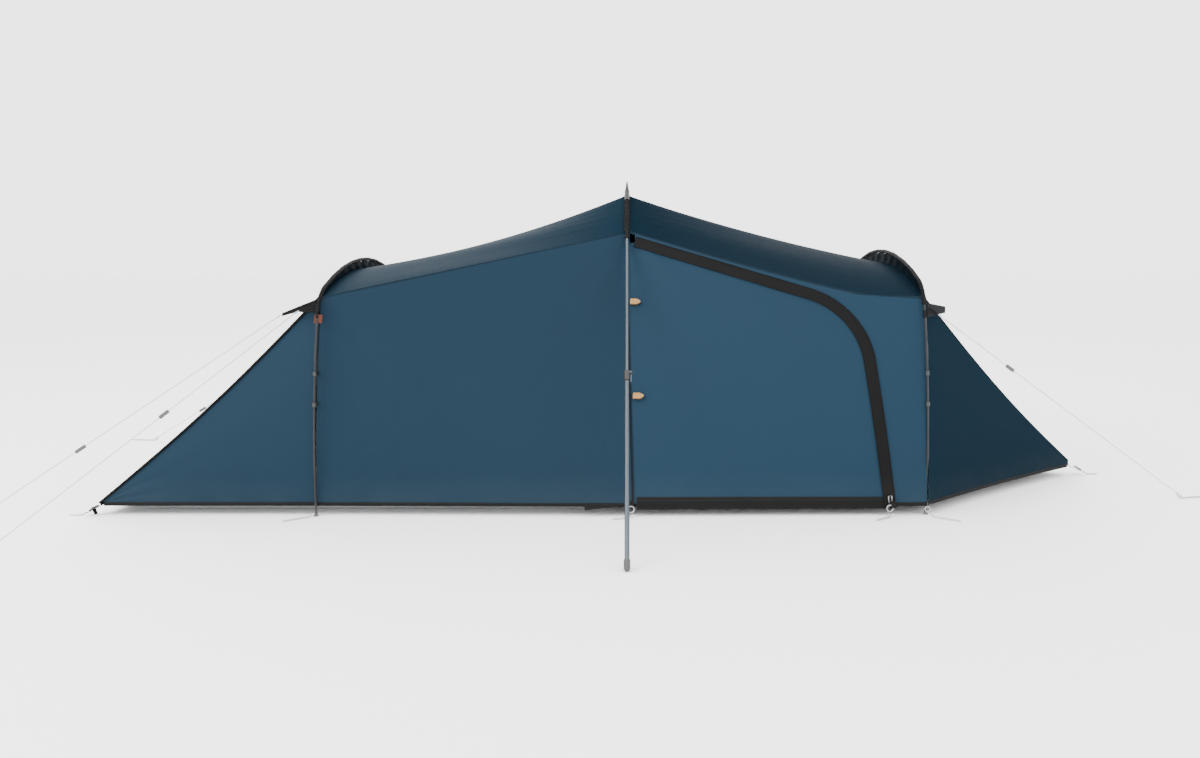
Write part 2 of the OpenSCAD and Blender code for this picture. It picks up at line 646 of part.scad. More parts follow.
module inner_canopy() {
    color("#c9b36a") {
        for (side = [-1, 1]) {
            panel([for (t = steps(8)) [for (w = steps(3))
                inner_roof(lerp(inner_end_top, inner_head_x - 6, t), lerp(0.02, 0.985, w), side)]],
                [0, -side * 0.8, -1.8]);
            panel([for (t = steps(8)) [for (v = steps(3))
                inner_wall(lerp(inner_end_top, inner_head_x - 6, t), lerp(0.006, 1, v), side)]],
                [0, -side * cloth_t, 0]);
            panel([for (v = steps(4)) [for (t = steps(3))
                let (v_end = lerp(0.02, 0.95, v), top = inner_end(side, v_end) - [0, 0, 5],
                     foot = [top.x, side * inner_half, tub_h + 1])
                lerp(top, foot, t)]], [0, -side * cloth_t, 0]);
        }
        panel([for (v = steps(4)) [for (u = steps(6))
            inner_end(lerp(-0.98, 0.98, u), lerp(0.003, 0.99, v))]], [1.2, 0, -1.6]);
    }
}
inner_door_w = 560;
inner_door_top = 760;
module inner_door_shape(grow = 0) {
    offset_w = inner_door_w / 2 + grow;
    translate([-offset_w, 150 - grow]) square([2 * offset_w, 400 + grow]);
    intersection() {
        translate([0, 550]) scale(1) circle(r = offset_w, $fn = 96);
        translate([-offset_w, 549]) square([2 * offset_w, inner_door_top - 549 + grow]);
    }
}
module inner_head_wall() {
    right = [for (w = steps(5)) let (p = inner_roof(inner_head_x, w, 1)) [p.y, p.z]];
    outline = concat([for (p = right) p], [[inner_half, tub_h + 1], [-inner_half, tub_h + 1]],
        [for (i = [5:-1:1]) [-right[i].x, right[i].y]]);
    color("#c9b36a") translate([inner_head_x - 3, 0, 0]) rotate([90, 0, 90])
        linear_extrude(cloth_t) difference() {
            polygon(outline);
            inner_door_shape(3);
        }
}
module inner_door() {
    color("#3a3d40") translate([inner_head_x - 3, 0, 0]) rotate([90, 0, 90])
        linear_extrude(cloth_t) inner_door_shape();
}

// ---- guys ----------------------------------------------------------------------------
// Each line is taut and straight, from its tab at a hoop's shoulder to its peg's hook
GUY_ROUTE = [
    [[-1362, -645, 789], [-2396, -1076, 16]],
    [[-1290, -655, 806], [-2158, -1216, 16]],
    [[-1290, 655, 806], [-2578, 750, 16]],
    [[-1362, 645, 789], [-2160, 1216, 16]],
    [[1226, -645, 790], [2318, -410, 16]],
    [[1226, 645, 790], [2052, 1228, 16]]];
// Share of the way down each line at which its tensioner sits
SLIDER_AT = [0.61, 0.457, 0.80, 0.70, 0.285, 0.60];
module guy_line(i) {
    color("#c8c8c8") cord([for (t = steps(8)) lerp(GUY_ROUTE[i - 1][0], GUY_ROUTE[i - 1][1], t)], guy_d);
}
function slider_place(i) = lerp(GUY_ROUTE[i - 1][0], GUY_ROUTE[i - 1][1], SLIDER_AT[i - 1]);
function slider_dir(i) = unit(GUY_ROUTE[i - 1][1] - GUY_ROUTE[i - 1][0]);
module guy_slider(i) {
    d = slider_dir(i);
    color(trim_black) translate(slider_place(i))
        rotate([0, acos(d.z), atan2(d.y, d.x)]) difference() {
            translate([-6.5, -4, -slider_l / 2]) cube([13, 8, slider_l]);
            cylinder(h = slider_l + 4, r = guy_d / 2 + 0.4, center = true, $fn = seg);
            translate([4.2, 0, 0]) rotate([90, 0, 0]) cylinder(h = 12, r = 1.3, center = true, $fn = 24);
        }
}
module guy_pegs() {
    color("silver") for (i = GUYS)
        let (r = GUY_ROUTE[i - 1], e = r[1])
        translate([e.x, e.y, 0]) rotate([0, 0, atan2(e.y - r[0].y, e.x - r[0].x)])
            translate([10, 0, 0]) peg();
}

// ---- what each node draws ------------------------------------------------------------
fly_roof_left();
fly_roof_right();
fly_wall_left_front();
fly_wall_left_back();
fly_wall_right_front();
fly_wall_right_back();
fly_end_left();
fly_tail_left_front();
fly_tail_left_back();
fly_tail_right_front();
fly_tail_right_back();
door_panel();
door_storm_flap();
door_hem();
zip_row();
zip_slider();
zip_pull();
hoop_pole(0);  // hoop_pole_left
hoop_pole(1);  // hoop_pole_right
hoop_sleeves();
hoop_web();
hoop_ferrules();
hoop_clips();
hoop_feet();
apex_hub();
apex_cap();
leg_sleeves();
leg_upper(-1);  // leg_upper_front
leg_upper(1);  // leg_upper_back
leg_lower(-1);  // leg_lower_front
leg_lower(1);  // leg_lower_back
lock_collar(-1);  // lock_collar_front
lock_collar(1);  // lock_collar_back
lock_lever(-1);  // lock_lever_front
lock_lever(1);  // lock_lever_back
leg_foot(-1);  // leg_foot_front
leg_foot(1);  // leg_foot_back
hem_binding();
webbing_straps();
strap_buckles();
ground_pegs();
door_toggle(0);  // door_toggle_upper
door_toggle(1);  // door_toggle_lower
inner_tub();
inner_canopy();
inner_head_wall();
inner_door();
guy_pegs();
for (i = GUYS) guy_line(i);
for (i = GUYS) guy_slider(i);
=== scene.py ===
"""Looks of a three-pole touring tent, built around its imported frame.

The frame gives every place and size. X runs along the ridge to the pointed tail, -Y is the
door side and Z is up, in metres. Cloth is laid over the same surfaces as the frame's panels.
"""

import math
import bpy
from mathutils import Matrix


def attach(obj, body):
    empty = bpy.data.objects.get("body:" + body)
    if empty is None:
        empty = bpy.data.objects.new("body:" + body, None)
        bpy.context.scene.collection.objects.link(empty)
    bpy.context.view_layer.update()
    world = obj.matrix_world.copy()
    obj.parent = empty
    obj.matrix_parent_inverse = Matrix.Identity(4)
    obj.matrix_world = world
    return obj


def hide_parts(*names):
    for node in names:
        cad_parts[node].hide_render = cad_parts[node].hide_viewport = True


bl_info = {
    "name": "Touring Tent Looks",
    "version": (1, 0, 0),
    "blender": (4, 5, 0),
    "location": "View3D > Sidebar > Tent",
    "description": "Cloth, webbing, poles, pegs and guys of a touring tent, with a pale studio",
    "category": "Object",
}

import bmesh
import bpy
from mathutils import Matrix, Vector

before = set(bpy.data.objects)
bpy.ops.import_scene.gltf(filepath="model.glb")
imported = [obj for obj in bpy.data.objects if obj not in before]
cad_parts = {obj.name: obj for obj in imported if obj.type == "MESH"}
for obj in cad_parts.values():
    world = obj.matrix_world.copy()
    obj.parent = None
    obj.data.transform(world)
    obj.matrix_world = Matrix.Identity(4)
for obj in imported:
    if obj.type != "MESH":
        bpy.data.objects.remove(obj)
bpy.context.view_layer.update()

# ---- driving sizes, in metres --------------------------------------------------------------
SIDES = (-1, 1)
SIDE_NAME = {-1: "front", 1: "back"}
APEX_Z = 1.300
HOOP_LEFT_X = 1.220
HOOP_RIGHT_X = 1.180
TAIL_X = 2.070
HEM_HALF = 0.650
HEM_Z = 0.050
ZIP_HALF = 0.006
SLEEVE_R = 0.008
HOOP_R = 0.00475


def lerp(a, b, t):
    return a + (b - a) * t


def swell(t):
    """A bulge that is nothing at both ends and one in the middle."""
    return math.sin(math.pi * min(1.0, max(0.0, t)))


# ---- the fly's surface ---------------------------------------------------------------------
def share(x):
    """How far x is from the A-frame, as a share of the way to that side's hoop."""
    return min(1.0, abs(x) / (HOOP_LEFT_X if x < 0 else HOOP_RIGHT_X))


def ridge_z(x):
    a = abs(x)
    if x < 0:
        return APEX_Z - 0.406 * a + 0.105 * a * a
    return APEX_Z - 0.347 * a + 0.068 * a * a


def seam_y(x):
    return 0.180 + 0.420 * share(x)


def seam_z(x):
    if x < 0:
        return APEX_Z - 0.180 - 0.216 * abs(x)
    return APEX_Z - 0.443 + 0.273 * max(0.0, 1 - x) ** 1.15


def hem_y(x):
    return HEM_HALF + 0.015 * (1 - share(x))


def roof_at(x, w):
    """A point of the roof; w runs from -1 at the front seam to 1 at the back seam."""
    bend = abs(w) ** (1 + share(x))
    return Vector((x, w * seam_y(x), lerp(ridge_z(x), seam_z(x), bend)))


def wall_y(x, z):
    v = (seam_z(x) - z) / (seam_z(x) - HEM_Z)
    return lerp(seam_y(x), hem_y(x), v) + 0.025 * share(x) * swell(v)


def on_wall(x, z, proud=0.0, side=-1):
    return Vector((x, side * (wall_y(x, z) + proud), z))


HINGE_TOP = Vector((0.006, -(0.180 + 0.485 * 30 / 1084), APEX_Z - 0.210))
HINGE_FOOT = Vector((0.034, -wall_y(0.034, HEM_Z), HEM_Z))


def hinge_x(z):
    """The seam under the A-frame, on which the door turns."""
    return lerp(HINGE_FOOT.x, HINGE_TOP.x, (z - HEM_Z) / (HINGE_TOP.z - HEM_Z))


# ---- the zip's line ------------------------------------------------------------------------
ZIP_START = (0.034, APEX_Z - 0.218)
ZIP_END = (1.032, HEM_Z)
ZIP_FALL = math.radians(16.9)
ZIP_DROP = math.radians(83.7)
ZIP_BEND_R = 0.310


def zip_measure():
    """Corner of the two straights, length of each straight and of the bend between them."""
    in_x, in_z = math.cos(ZIP_FALL), -math.sin(ZIP_FALL)
    out_x, out_z = math.cos(ZIP_DROP), -math.sin(ZIP_DROP)
    dx, dz = ZIP_END[0] - ZIP_START[0], ZIP_END[1] - ZIP_START[1]
    turn = in_x * out_z - in_z * out_x
    first = (dx * out_z - dz * out_x) / turn
    last = (dz * in_x - dx * in_z) / turn
    cut = ZIP_BEND_R * math.tan((ZIP_DROP - ZIP_FALL) / 2)
    return first - cut, ZIP_BEND_R * (ZIP_DROP - ZIP_FALL), last - cut


ZIP_PARTS = zip_measure()
ZIP_LENGTH = sum(ZIP_PARTS)


def zip_spot(t, shift=0.0):
    """(x, z) at share t of the zip's line, moved outward by shift."""
    s = t * ZIP_LENGTH
    first, bend, _ = ZIP_PARTS
    heading = ZIP_FALL + (ZIP_DROP - ZIP_FALL) * min(1.0, max(0.0, (s - first) / bend))
    x, z = ZIP_START
    run = min(s, first)
    x += run * math.cos(ZIP_FALL)
    z -= run * math.sin(ZIP_FALL)
    if s > first:
        x += ZIP_BEND_R * (math.sin(heading) - math.sin(ZIP_FALL))
        z += ZIP_BEND_R * (math.cos(heading) - math.cos(ZIP_FALL))
    if s > first + bend:
        x += (s - first - bend) * math.cos(ZIP_DROP)
        z -= (s - first - bend) * math.sin(ZIP_DROP)
    return x + shift * math.sin(heading), z + shift * math.cos(heading)


# ---- the tails' surfaces -------------------------------------------------------------------
END_START_X = -HOOP_LEFT_X - 0.004
TIP_START_X = HOOP_RIGHT_X + 0.004
TIP = Vector((TAIL_X, 0, HEM_Z - 0.001))
CREASE_U = 0.45


def end_at(u, v):
    """The sloping end of the wide tail; u is across, v is down from the hoop to the hem."""
    top = roof_at(END_START_X, u)
    foot = Vector((-TAIL_X, HEM_HALF * u, HEM_Z))
    return top.lerp(foot, v) + Vector((0.012, 0, -0.018)) * swell(v)


def tail_side_at(side, t, v):
    """The triangle beside the wide tail; t is down, v is out from the hoop to the corner."""
    top = end_at(side, v) - Vector((0, 0, 0.002))
    foot = Vector((top.x, side * lerp(wall_y(-HOOP_LEFT_X, HEM_Z), HEM_HALF, v), HEM_Z))
    spot = top.lerp(foot, t)
    spot.y += side * 0.025 * (1 - v) * swell(t)
    return spot


def tip_at(u, v, side):
    """The pointed tail; u is round the hoop's outline from the ridge, v is out to the tip."""
    if u < CREASE_U:
        start = roof_at(TIP_START_X, side * u / CREASE_U)
    else:
        z = lerp(seam_z(TIP_START_X), HEM_Z, (u - CREASE_U) / (1 - CREASE_U))
        start = on_wall(TIP_START_X, z, 0, side)
    spot = start.lerp(TIP, v)
    sag = swell(v)
    spot.y += side * (0.0035 * min(1.0, 10 * u) - 0.020 * sag * u)
    spot.z -= 0.055 * sag * (1 - u)
    return spot


# ---- the hoops' line -----------------------------------------------------------------------
class Hoop:
    """Centreline of a hoop pole: a crown, a tight shoulder and a nearly straight leg."""

    def __init__(self, x, top, crown_r, crown_a, shoulder_r):
        self.x = x
        self.crown_a = math.radians(crown_a)
        self.shoulder_a = math.radians(80)
        self.crown = (0.0, top - crown_r, crown_r)
        self.shoulder = self.tangent_arc(self.crown, self.crown_a, shoulder_r)
        self.leg = self.tangent_arc(self.shoulder, self.shoulder_a, 2.560)

    @staticmethod
    def tangent_arc(arc, heading, radius):
        grow = arc[2] - radius
        return arc[0] + grow * math.sin(heading), arc[1] + grow * math.cos(heading), radius

    def at(self, heading, shift=0.0):
        """The point at a heading in radians, negative on the door side, moved outward by shift."""
        a = abs(heading)
        arc = self.crown if a < self.crown_a else self.shoulder if a < self.shoulder_a else self.leg
        y = arc[0] + (arc[2] + shift) * math.sin(a)
        z = arc[1] + (arc[2] + shift) * math.cos(a)
        return Vector((self.x, math.copysign(y, heading), z))

    def heading_at(self, z):
        """The heading in the leg at height z."""
        return math.acos((z - self.leg[1]) / self.leg[2])


HOOPS = (
    Hoop(-HOOP_LEFT_X, 1.002, 1.500, 22.0, 0.130),
    Hoop(HOOP_RIGHT_X, 1.040, 1.350, 23.5, 0.140),
)
SLEEVE_END = math.radians(72)
WEB_END = math.radians(50)


# ---- how the cloth pulls -------------------------------------------------------------------
def fan(x, z, at_x, at_z, reach, folds, depth):
    """Tension folds that fan out from a point where the cloth is pulled."""
    dx, dz = x - at_x, z - at_z
    away = math.hypot(dx, dz)
    fade = math.exp(-away / reach) * min(1.0, away / 0.05)
    return depth * fade * math.sin(folds * math.atan2(dz, dx) + 3 * away)


def ruck(x, z):
    """How far a wall stands out of its smooth surface."""
    pulls = (
        (-HOOP_LEFT_X, seam_z(-HOOP_LEFT_X), 0.42, 17, 0.0030),
        (-HOOP_LEFT_X, HEM_Z, 0.30, 19, 0.0022),
        (0.02, HEM_Z, 0.34, 21, 0.0024),
        (0.0, APEX_Z - 0.18, 0.40, 15, 0.0022),
        (HOOP_RIGHT_X, seam_z(HOOP_RIGHT_X), 0.30, 19, 0.0028),
        (HOOP_RIGHT_X, HEM_Z, 0.24, 17, 0.0020),
    )
    folds = sum(fan(x, z, *p) for p in pulls)
    return folds + 0.0012 * math.sin(5.1 * x + 2.3) * math.sin(7.0 * z + 1.1)


def roof_ruck(x, w):
    """The roof's own folds run from the apex out along the ridge."""
    along = 0.0022 * math.sin(9 * w + 1.7 * x) * swell(share(x))
    return along + 0.0016 * math.sin(38 * w) * math.exp(-share(x) / 0.12) * share(x) * 6


# ---- making pieces -------------------------------------------------------------------------
def settings():
    return bpy.context.scene.tent_looks


def material(name):
    found = bpy.data.materials.get(name)
    if found is None:
        raise RuntimeError(f"the finish {name} isn't mixed yet; make the finishes first")
    return found


def place(mesh, name, finish, body, replaces=(), smooth=True):
    """Turns a bmesh into an object at the origin that rides on a body."""
    data = bpy.data.meshes.new(name)
    mesh.to_mesh(data)
    mesh.free()
    data.materials.append(material(finish))
    if smooth:
        data.shade_smooth()
    piece = bpy.data.objects.new(name, data)
    bpy.context.collection.objects.link(piece)
    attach(piece, body)
    if replaces:
        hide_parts(*replaces)
    return piece


def arc_length(points):
    return sum((b - a).length for a, b in zip(points, points[1:]))


def cut_of(surface, steps=24, lines=6):
    """Width and length of the flat cut, along the longest lines of a surface."""
    share_of = [i / steps for i in range(steps + 1)]
    cross = [i / lines for i in range(lines + 1)]
    width = max(arc_length([surface(u, v) for u in share_of]) for v in cross)
    length = max(arc_length([surface(u, v) for v in share_of]) for u in cross)
    return width, length


def lay(surface, columns, rows, thickness, outward, closed=False):
    """A grid laid over surface(u, v), facing outward, with thread directions in its UVs."""
    width, length = cut_of(surface)
    mesh = bmesh.new()
    threads = mesh.loops.layers.uv.new("threads")
    bmesh.ops.create_grid(mesh, x_segments=columns, y_segments=rows, size=0.5)
    spots = {v: (v.co.x + 0.5, v.co.y + 0.5) for v in mesh.verts}
    for face in mesh.faces:
        for loop in face.loops:
            u, v = spots[loop.vert]
            loop[threads].uv = (u * width, v * length)
    for vert, (u, v) in spots.items():
        vert.co = surface(u, v)
    if closed:
        bmesh.ops.remove_doubles(mesh, verts=mesh.verts[:], dist=1e-6)
        bmesh.ops.recalc_face_normals(mesh, faces=mesh.faces[:])
    else:
        mesh.normal_update()
        facing = sum(f.normal.dot(outward(f.calc_center_median())) for f in mesh.faces)
        if facing < 0:
            bmesh.ops.reverse_faces(mesh, faces=mesh.faces[:])
    area = sum(f.calc_area() for f in mesh.faces)
    if thickness:
        mesh.normal_update()
        bmesh.ops.solidify(mesh, geom=mesh.faces[:], thickness=thickness)
        mesh.normal_update()
        for edge in mesh.edges:
            if len(edge.link_faces) == 2 and edge.calc_face_angle() > 0.9:
                edge.smooth = False
    return mesh, (width, length), area


def from_inside(spot):
    """Outward from the middle of the tent."""
    return (spot - Vector((0.0, 0.0, 0.35))).normalized()


def cloth(name, surface, columns, rows, finish, body="root", replaces=(),
          thickness=0.0009, outward=from_inside):
    """One sheet of cloth laid over a surface."""
    mesh, (width, length), area = lay(surface, columns, rows, thickness, outward)
    piece = place(mesh, name, finish, body, replaces)
    room = width * length
    max(0.3 * room, min(area, room))
    return piece


def along_ridge(_):
    return Vector((1, 0, 0))


def upward(_):
    return Vector((0, 0, 1))


def downward(_):
    return Vector((0, 0, -1))


def ribbon(name, line, across, width, thickness, finish, body="root",
           replaces=(), steps=24, outward=from_inside):
    """A flat band along line(t), its width along across(t), like a strap or a bound edge."""
    def surface(u, v):
        return line(u) + across(u) * (v - 0.5) * width
    mesh, _, _ = lay(surface, steps, 3, thickness, outward)
    return place(mesh, name, finish, body, replaces)


def tube(name, line, radius, finish, body="root", replaces=(), steps=32, around=12,
         fullness=None):
    """A round tube along line(t), closed at both ends; fullness(t, a) scales its radius."""
    def frame_at(t):
        ahead = (line(min(1.0, t + 0.002)) - line(max(0.0, t - 0.002))).normalized()
        level = Vector((1, 0, 0)) if abs(ahead.x) < 0.9 else Vector((0, 0, 1))
        sideways = ahead.cross(level).normalized()
        return sideways, ahead.cross(sideways)

    def surface(u, v):
        a, b = frame_at(u)
        turn = 2 * math.pi * v
        r = radius * (fullness(u, turn) if fullness else 1.0)
        return line(u) + r * (math.cos(turn) * a + math.sin(turn) * b)

    mesh, _, _ = lay(surface, steps, around, 0, None, closed=True)
    ends = [e for e in mesh.edges if e.is_boundary]
    bmesh.ops.holes_fill(mesh, edges=ends, sides=0)
    bmesh.ops.recalc_face_normals(mesh, faces=mesh.faces[:])
    for edge in mesh.edges:
        if len(edge.link_faces) == 2 and edge.calc_face_angle() > 0.9:
            edge.smooth = False
    return place(mesh, name, finish, body, replaces)


# ---- effects that several finishes share ---------------------------------------------------
def supply(tree, socket, value):
    """Links a socket to another one, or gives it a plain value."""
    if isinstance(value, bpy.types.NodeSocket):
        tree.links.new(value, socket)
    else:
        socket.default_value = value


def wire(tree, kind, feeds, **options):
    """Adds a node, sets its options and feeds its sockets from values or other sockets."""
    node = tree.nodes.new(kind)
    for key, value in options.items():
        setattr(node, key, value)
    for key, value in feeds.items():
        supply(tree, node.inputs[key], value)
    return node


def sums(tree, operation, a, b=0.0, c=0.0):
    """One Math node; returns its output."""
    return wire(tree, "ShaderNodeMath", {0: a, 1: b, 2: c}, operation=operation).outputs[0]


def begin_effect(name, inputs, outputs):
    """An empty node group with its sockets, and its way in and out."""
    group = bpy.data.node_groups.new(name, "ShaderNodeTree")
    for label, kind, default in inputs:
        socket = group.interface.new_socket(label, in_out="INPUT", socket_type=kind)
        if default is not None:
            socket.default_value = default
    for label in outputs:
        group.interface.new_socket(label, in_out="OUTPUT", socket_type="NodeSocketFloat")
    way_in, way_out = group.nodes.new("NodeGroupInput"), group.nodes.new("NodeGroupOutput")
    return group, way_in.outputs, way_out.inputs


def ripstop_effect():
    """A square grid of thicker threads over a plain weave."""
    group, given, made = begin_effect(
        "Ripstop", [("Threads", "NodeSocketVector", None), ("Pitch", "NodeSocketFloat", 0.006)],
        ["Height", "Rib"])
    parts = wire(group, "ShaderNodeSeparateXYZ", {0: given["Threads"]}).outputs
    ribs = []
    weave = []
    for axis in ("X", "Y"):
        cell = sums(group, "DIVIDE", parts[axis], given["Pitch"])
        near = sums(group, "PINGPONG", cell, 0.5)
        thick = wire(group, "ShaderNodeMapRange", {0: near, 1: 0.0, 2: 0.09, 3: 1.0, 4: 0.0})
        ribs.append(thick.outputs[0])
        weave.append(sums(group, "SINE", sums(group, "MULTIPLY", cell, 2 * math.pi * 12)))
    rib = sums(group, "MAXIMUM", *ribs)
    fine = sums(group, "MULTIPLY", *weave)
    group.links.new(rib, made["Rib"])
    group.links.new(sums(group, "MULTIPLY_ADD", fine, 0.18, rib), made["Height"])
    return group


def handling_effect():
    """Slow changes of shade and soft creases left by folding and packing."""
    group, given, made = begin_effect(
        "Handling", [("Place", "NodeSocketVector", None), ("Scale", "NodeSocketFloat", 1.6)],
        ["Shade", "Creases"])
    slow = wire(group, "ShaderNodeTexNoise", {"Vector": given["Place"], "Scale": given["Scale"],
                "Detail": 3.0, "Roughness": 0.55})
    fold = wire(group, "ShaderNodeTexNoise", {"Vector": given["Place"], "Scale": 5.5,
                "Detail": 4.0, "Roughness": 0.6, "Distortion": 1.4})
    group.links.new(slow.outputs[0], made["Shade"])
    group.links.new(fold.outputs[0], made["Creases"])
    return group


def webbing_effect():
    """Close diagonal ribs of a woven strap, with a plain edge."""
    group, given, made = begin_effect(
        "Webbing", [("Threads", "NodeSocketVector", None), ("Pitch", "NodeSocketFloat", 0.0022)],
        ["Height"])
    parts = wire(group, "ShaderNodeSeparateXYZ", {0: given["Threads"]}).outputs
    zigzag = sums(group, "PINGPONG", parts["Y"], 0.004)
    slant = sums(group, "ADD", parts["X"], zigzag)
    turn = sums(group, "MULTIPLY", sums(group, "DIVIDE", slant, given["Pitch"]), 2 * math.pi)
    rib = sums(group, "MULTIPLY_ADD", sums(group, "SINE", turn), 0.5, 0.5)
    group.links.new(rib, made["Height"])
    return group


def stitch_effect():
    """Two rows of lock stitches along a band, a fixed way in from each edge."""
    group, given, made = begin_effect(
        "Stitches", [("Threads", "NodeSocketVector", None), ("Width", "NodeSocketFloat", 0.012),
                     ("Inset", "NodeSocketFloat", 0.0022), ("Length", "NodeSocketFloat", 0.004)],
        ["Stitch"])
    parts = wire(group, "ShaderNodeSeparateXYZ", {0: given["Threads"]}).outputs
    half = sums(group, "MULTIPLY", given["Width"], 0.5)
    from_middle = sums(group, "ABSOLUTE", sums(group, "SUBTRACT", parts["Y"], half))
    row = sums(group, "SUBTRACT", half, given["Inset"])
    beside = sums(group, "ABSOLUTE", sums(group, "SUBTRACT", from_middle, row))
    on_row = sums(group, "LESS_THAN", beside, 0.0005)
    along = sums(group, "FRACT", sums(group, "DIVIDE", parts["X"], given["Length"]))
    on_stitch = sums(group, "LESS_THAN", along, 0.72)
    group.links.new(sums(group, "MULTIPLY", on_row, on_stitch), made["Stitch"])
    return group


def grain_effect():
    """Fine grain of moulded plastic, rubber and worn metal, with broader patches of wear."""
    group, given, made = begin_effect(
        "Grain", [("Place", "NodeSocketVector", None), ("Scale", "NodeSocketFloat", 900.0)],
        ["Height", "Wear"])
    fine = wire(group, "ShaderNodeTexNoise", {"Vector": given["Place"], "Scale": given["Scale"],
                "Detail": 2.0})
    broad = wire(group, "ShaderNodeTexNoise", {"Vector": given["Place"], "Scale": 26.0,
                 "Detail": 5.0, "Roughness": 0.65})
    group.links.new(fine.outputs[0], made["Height"])
    worn = wire(group, "ShaderNodeMapRange", {0: broad.outputs[0], 1: 0.42, 2: 0.68})
    group.links.new(worn.outputs[0], made["Wear"])
    return group


def ground_dust_effect():
    """Dust that clings to whatever is near the ground."""
    group, given, made = begin_effect(
        "Ground dust", [("Place", "NodeSocketVector", None), ("Reach", "NodeSocketFloat", 0.16)],
        ["Dust"])
    height = wire(group, "ShaderNodeSeparateXYZ", {0: given["Place"]}).outputs["Z"]
    low = wire(group, "ShaderNodeMapRange", {0: height, 1: 0.0, 2: given["Reach"], 3: 1.0, 4: 0.0})
    cloud = wire(group, "ShaderNodeTexNoise", {"Vector": given["Place"], "Scale": 9.0,
                 "Detail": 6.0})
    group.links.new(sums(group, "MULTIPLY", low.outputs[0], cloud.outputs[0]), made["Dust"])
    return group


EFFECTS = {
    "ripstop": ripstop_effect,
    "handling": handling_effect,
    "webbing": webbing_effect,
    "stitches": stitch_effect,
    "grain": grain_effect,
    "dust": ground_dust_effect,
}
groups = {}


class Finish:
    """A material being mixed: its tree, its shader and the places that patterns read."""

    def __init__(self, name, roughness, metallic=0.0, **plain):
        self.material = bpy.data.materials.new(name)
        self.material.use_nodes = True
        self.tree = self.material.node_tree
        self.shader = self.tree.nodes["Principled BSDF"]
        self.shader.inputs["Roughness"].default_value = roughness
        self.shader.inputs["Metallic"].default_value = metallic
        for socket, value in plain.items():
            self.shader.inputs[socket.replace("_", " ")].default_value = value
        places = self.tree.nodes.new("ShaderNodeTexCoord").outputs
        self.place, self.threads = places["Object"], places["UV"]

    def effect(self, name, **feeds):
        node = self.tree.nodes.new("ShaderNodeGroup")
        node.node_tree = groups[name]
        for key, value in feeds.items():
            supply(self.tree, node.inputs[key], value)
        return node.outputs

    def mix(self, factor, a, b):
        """A colour between two, each a colour or a socket."""
        node = wire(self.tree, "ShaderNodeMix", {0: factor}, data_type="RGBA")
        for index, value in ((6, a), (7, b)):
            plain = not isinstance(value, bpy.types.NodeSocket)
            supply(self.tree, node.inputs[index], (*value[:3], 1.0) if plain else value)
        return node.outputs[2]

    def spread(self, value, low, high):
        """A value of 0 to 1 mapped to low to high."""
        return wire(self.tree, "ShaderNodeMapRange", {0: value, 3: low, 4: high}).outputs[0]

    def feed(self, socket, value):
        self.tree.links.new(value, self.shader.inputs[socket])

    def bump(self, height, distance, strength=0.5):
        """A bump on top of any bump that is already there."""
        node = wire(self.tree, "ShaderNodeBump", {"Height": height, "Distance": distance,
                    "Strength": strength})
        before = self.shader.inputs["Normal"].links
        if before:
            self.tree.links.new(before[0].from_socket, node.inputs["Normal"])
        self.feed("Normal", node.outputs[0])


def tinted(colour, times):
    return tuple(min(1.0, c * times) for c in colour[:3])


DUST = (0.32, 0.29, 0.25)


def mix_fly_cloth(name, colour, pitch=0.0065, dust=0.03, gloss=0.08):
    """Coated ripstop, with a satin face, packing creases and a little dust at the hem."""
    f = Finish(name, 0.55, Specular_IOR_Level=gloss)
    life = f.effect("handling", Place=f.place)
    weave = f.effect("ripstop", Threads=f.threads, Pitch=pitch)
    low = f.effect("dust", Place=f.place)
    shade = f.spread(life["Shade"], 0.0, 1.0)
    base = f.mix(shade, tinted(colour, 0.90), tinted(colour, 1.10))
    ribbed = f.mix(f.spread(weave["Rib"], 0.0, 0.35), base, tinted(colour, 0.80))
    f.feed("Base Color", f.mix(f.spread(low["Dust"], 0.0, dust), ribbed, DUST))
    f.feed("Roughness", f.spread(life["Shade"], 0.50, 0.64))
    f.bump(life["Creases"], 0.004, 0.22)
    f.bump(weave["Height"], 0.00025, 0.5)
    return f


def mix_trim(name, colour, stitched=0.0):
    """Woven strap or binding, with two rows of stitches where it is sewn."""
    f = Finish(name, 0.72, Specular_IOR_Level=0.10)
    ribs = f.effect("webbing", Threads=f.threads, Pitch=0.0022)
    life = f.effect("handling", Place=f.place, Scale=9.0)
    low = f.effect("dust", Place=f.place)
    # the ribs' crests are painted lighter and their grooves darker: painted highlight and painted
    # shade across the weave
    base = f.mix(ribs["Height"], tinted(colour, 0.7), tinted(colour, 1.4))
    if stitched:
        sewn = f.effect("stitches", Threads=f.threads, Width=stitched)
        base = f.mix(sewn["Stitch"], base, (0.022, 0.024, 0.027))
        f.bump(sewn["Stitch"], 0.0005, 0.7)
    f.feed("Base Color", f.mix(f.spread(low["Dust"], 0.0, 0.02), base, DUST))
    f.feed("Roughness", f.spread(life["Shade"], 0.62, 0.82))
    f.bump(ribs["Height"], 0.0003, 0.6)
    return f


def mix_moulded(name, colour, roughness=0.42, grain=0.00006, gloss=0.0):
    """Moulded plastic or rubber with a fine grain and rubbed patches."""
    f = Finish(name, roughness, Coat_Weight=gloss)
    g = f.effect("grain", Place=f.place)
    low = f.effect("dust", Place=f.place, Reach=0.05)
    worn = f.mix(f.spread(g["Wear"], 0.0, 0.35), colour, tinted(colour, 1.9))
    f.feed("Base Color", f.mix(f.spread(low["Dust"], 0.0, 0.4), worn, DUST))
    f.feed("Roughness", f.spread(g["Wear"], roughness - 0.06, roughness + 0.14))
    f.bump(g["Height"], grain, 0.5)
    return f


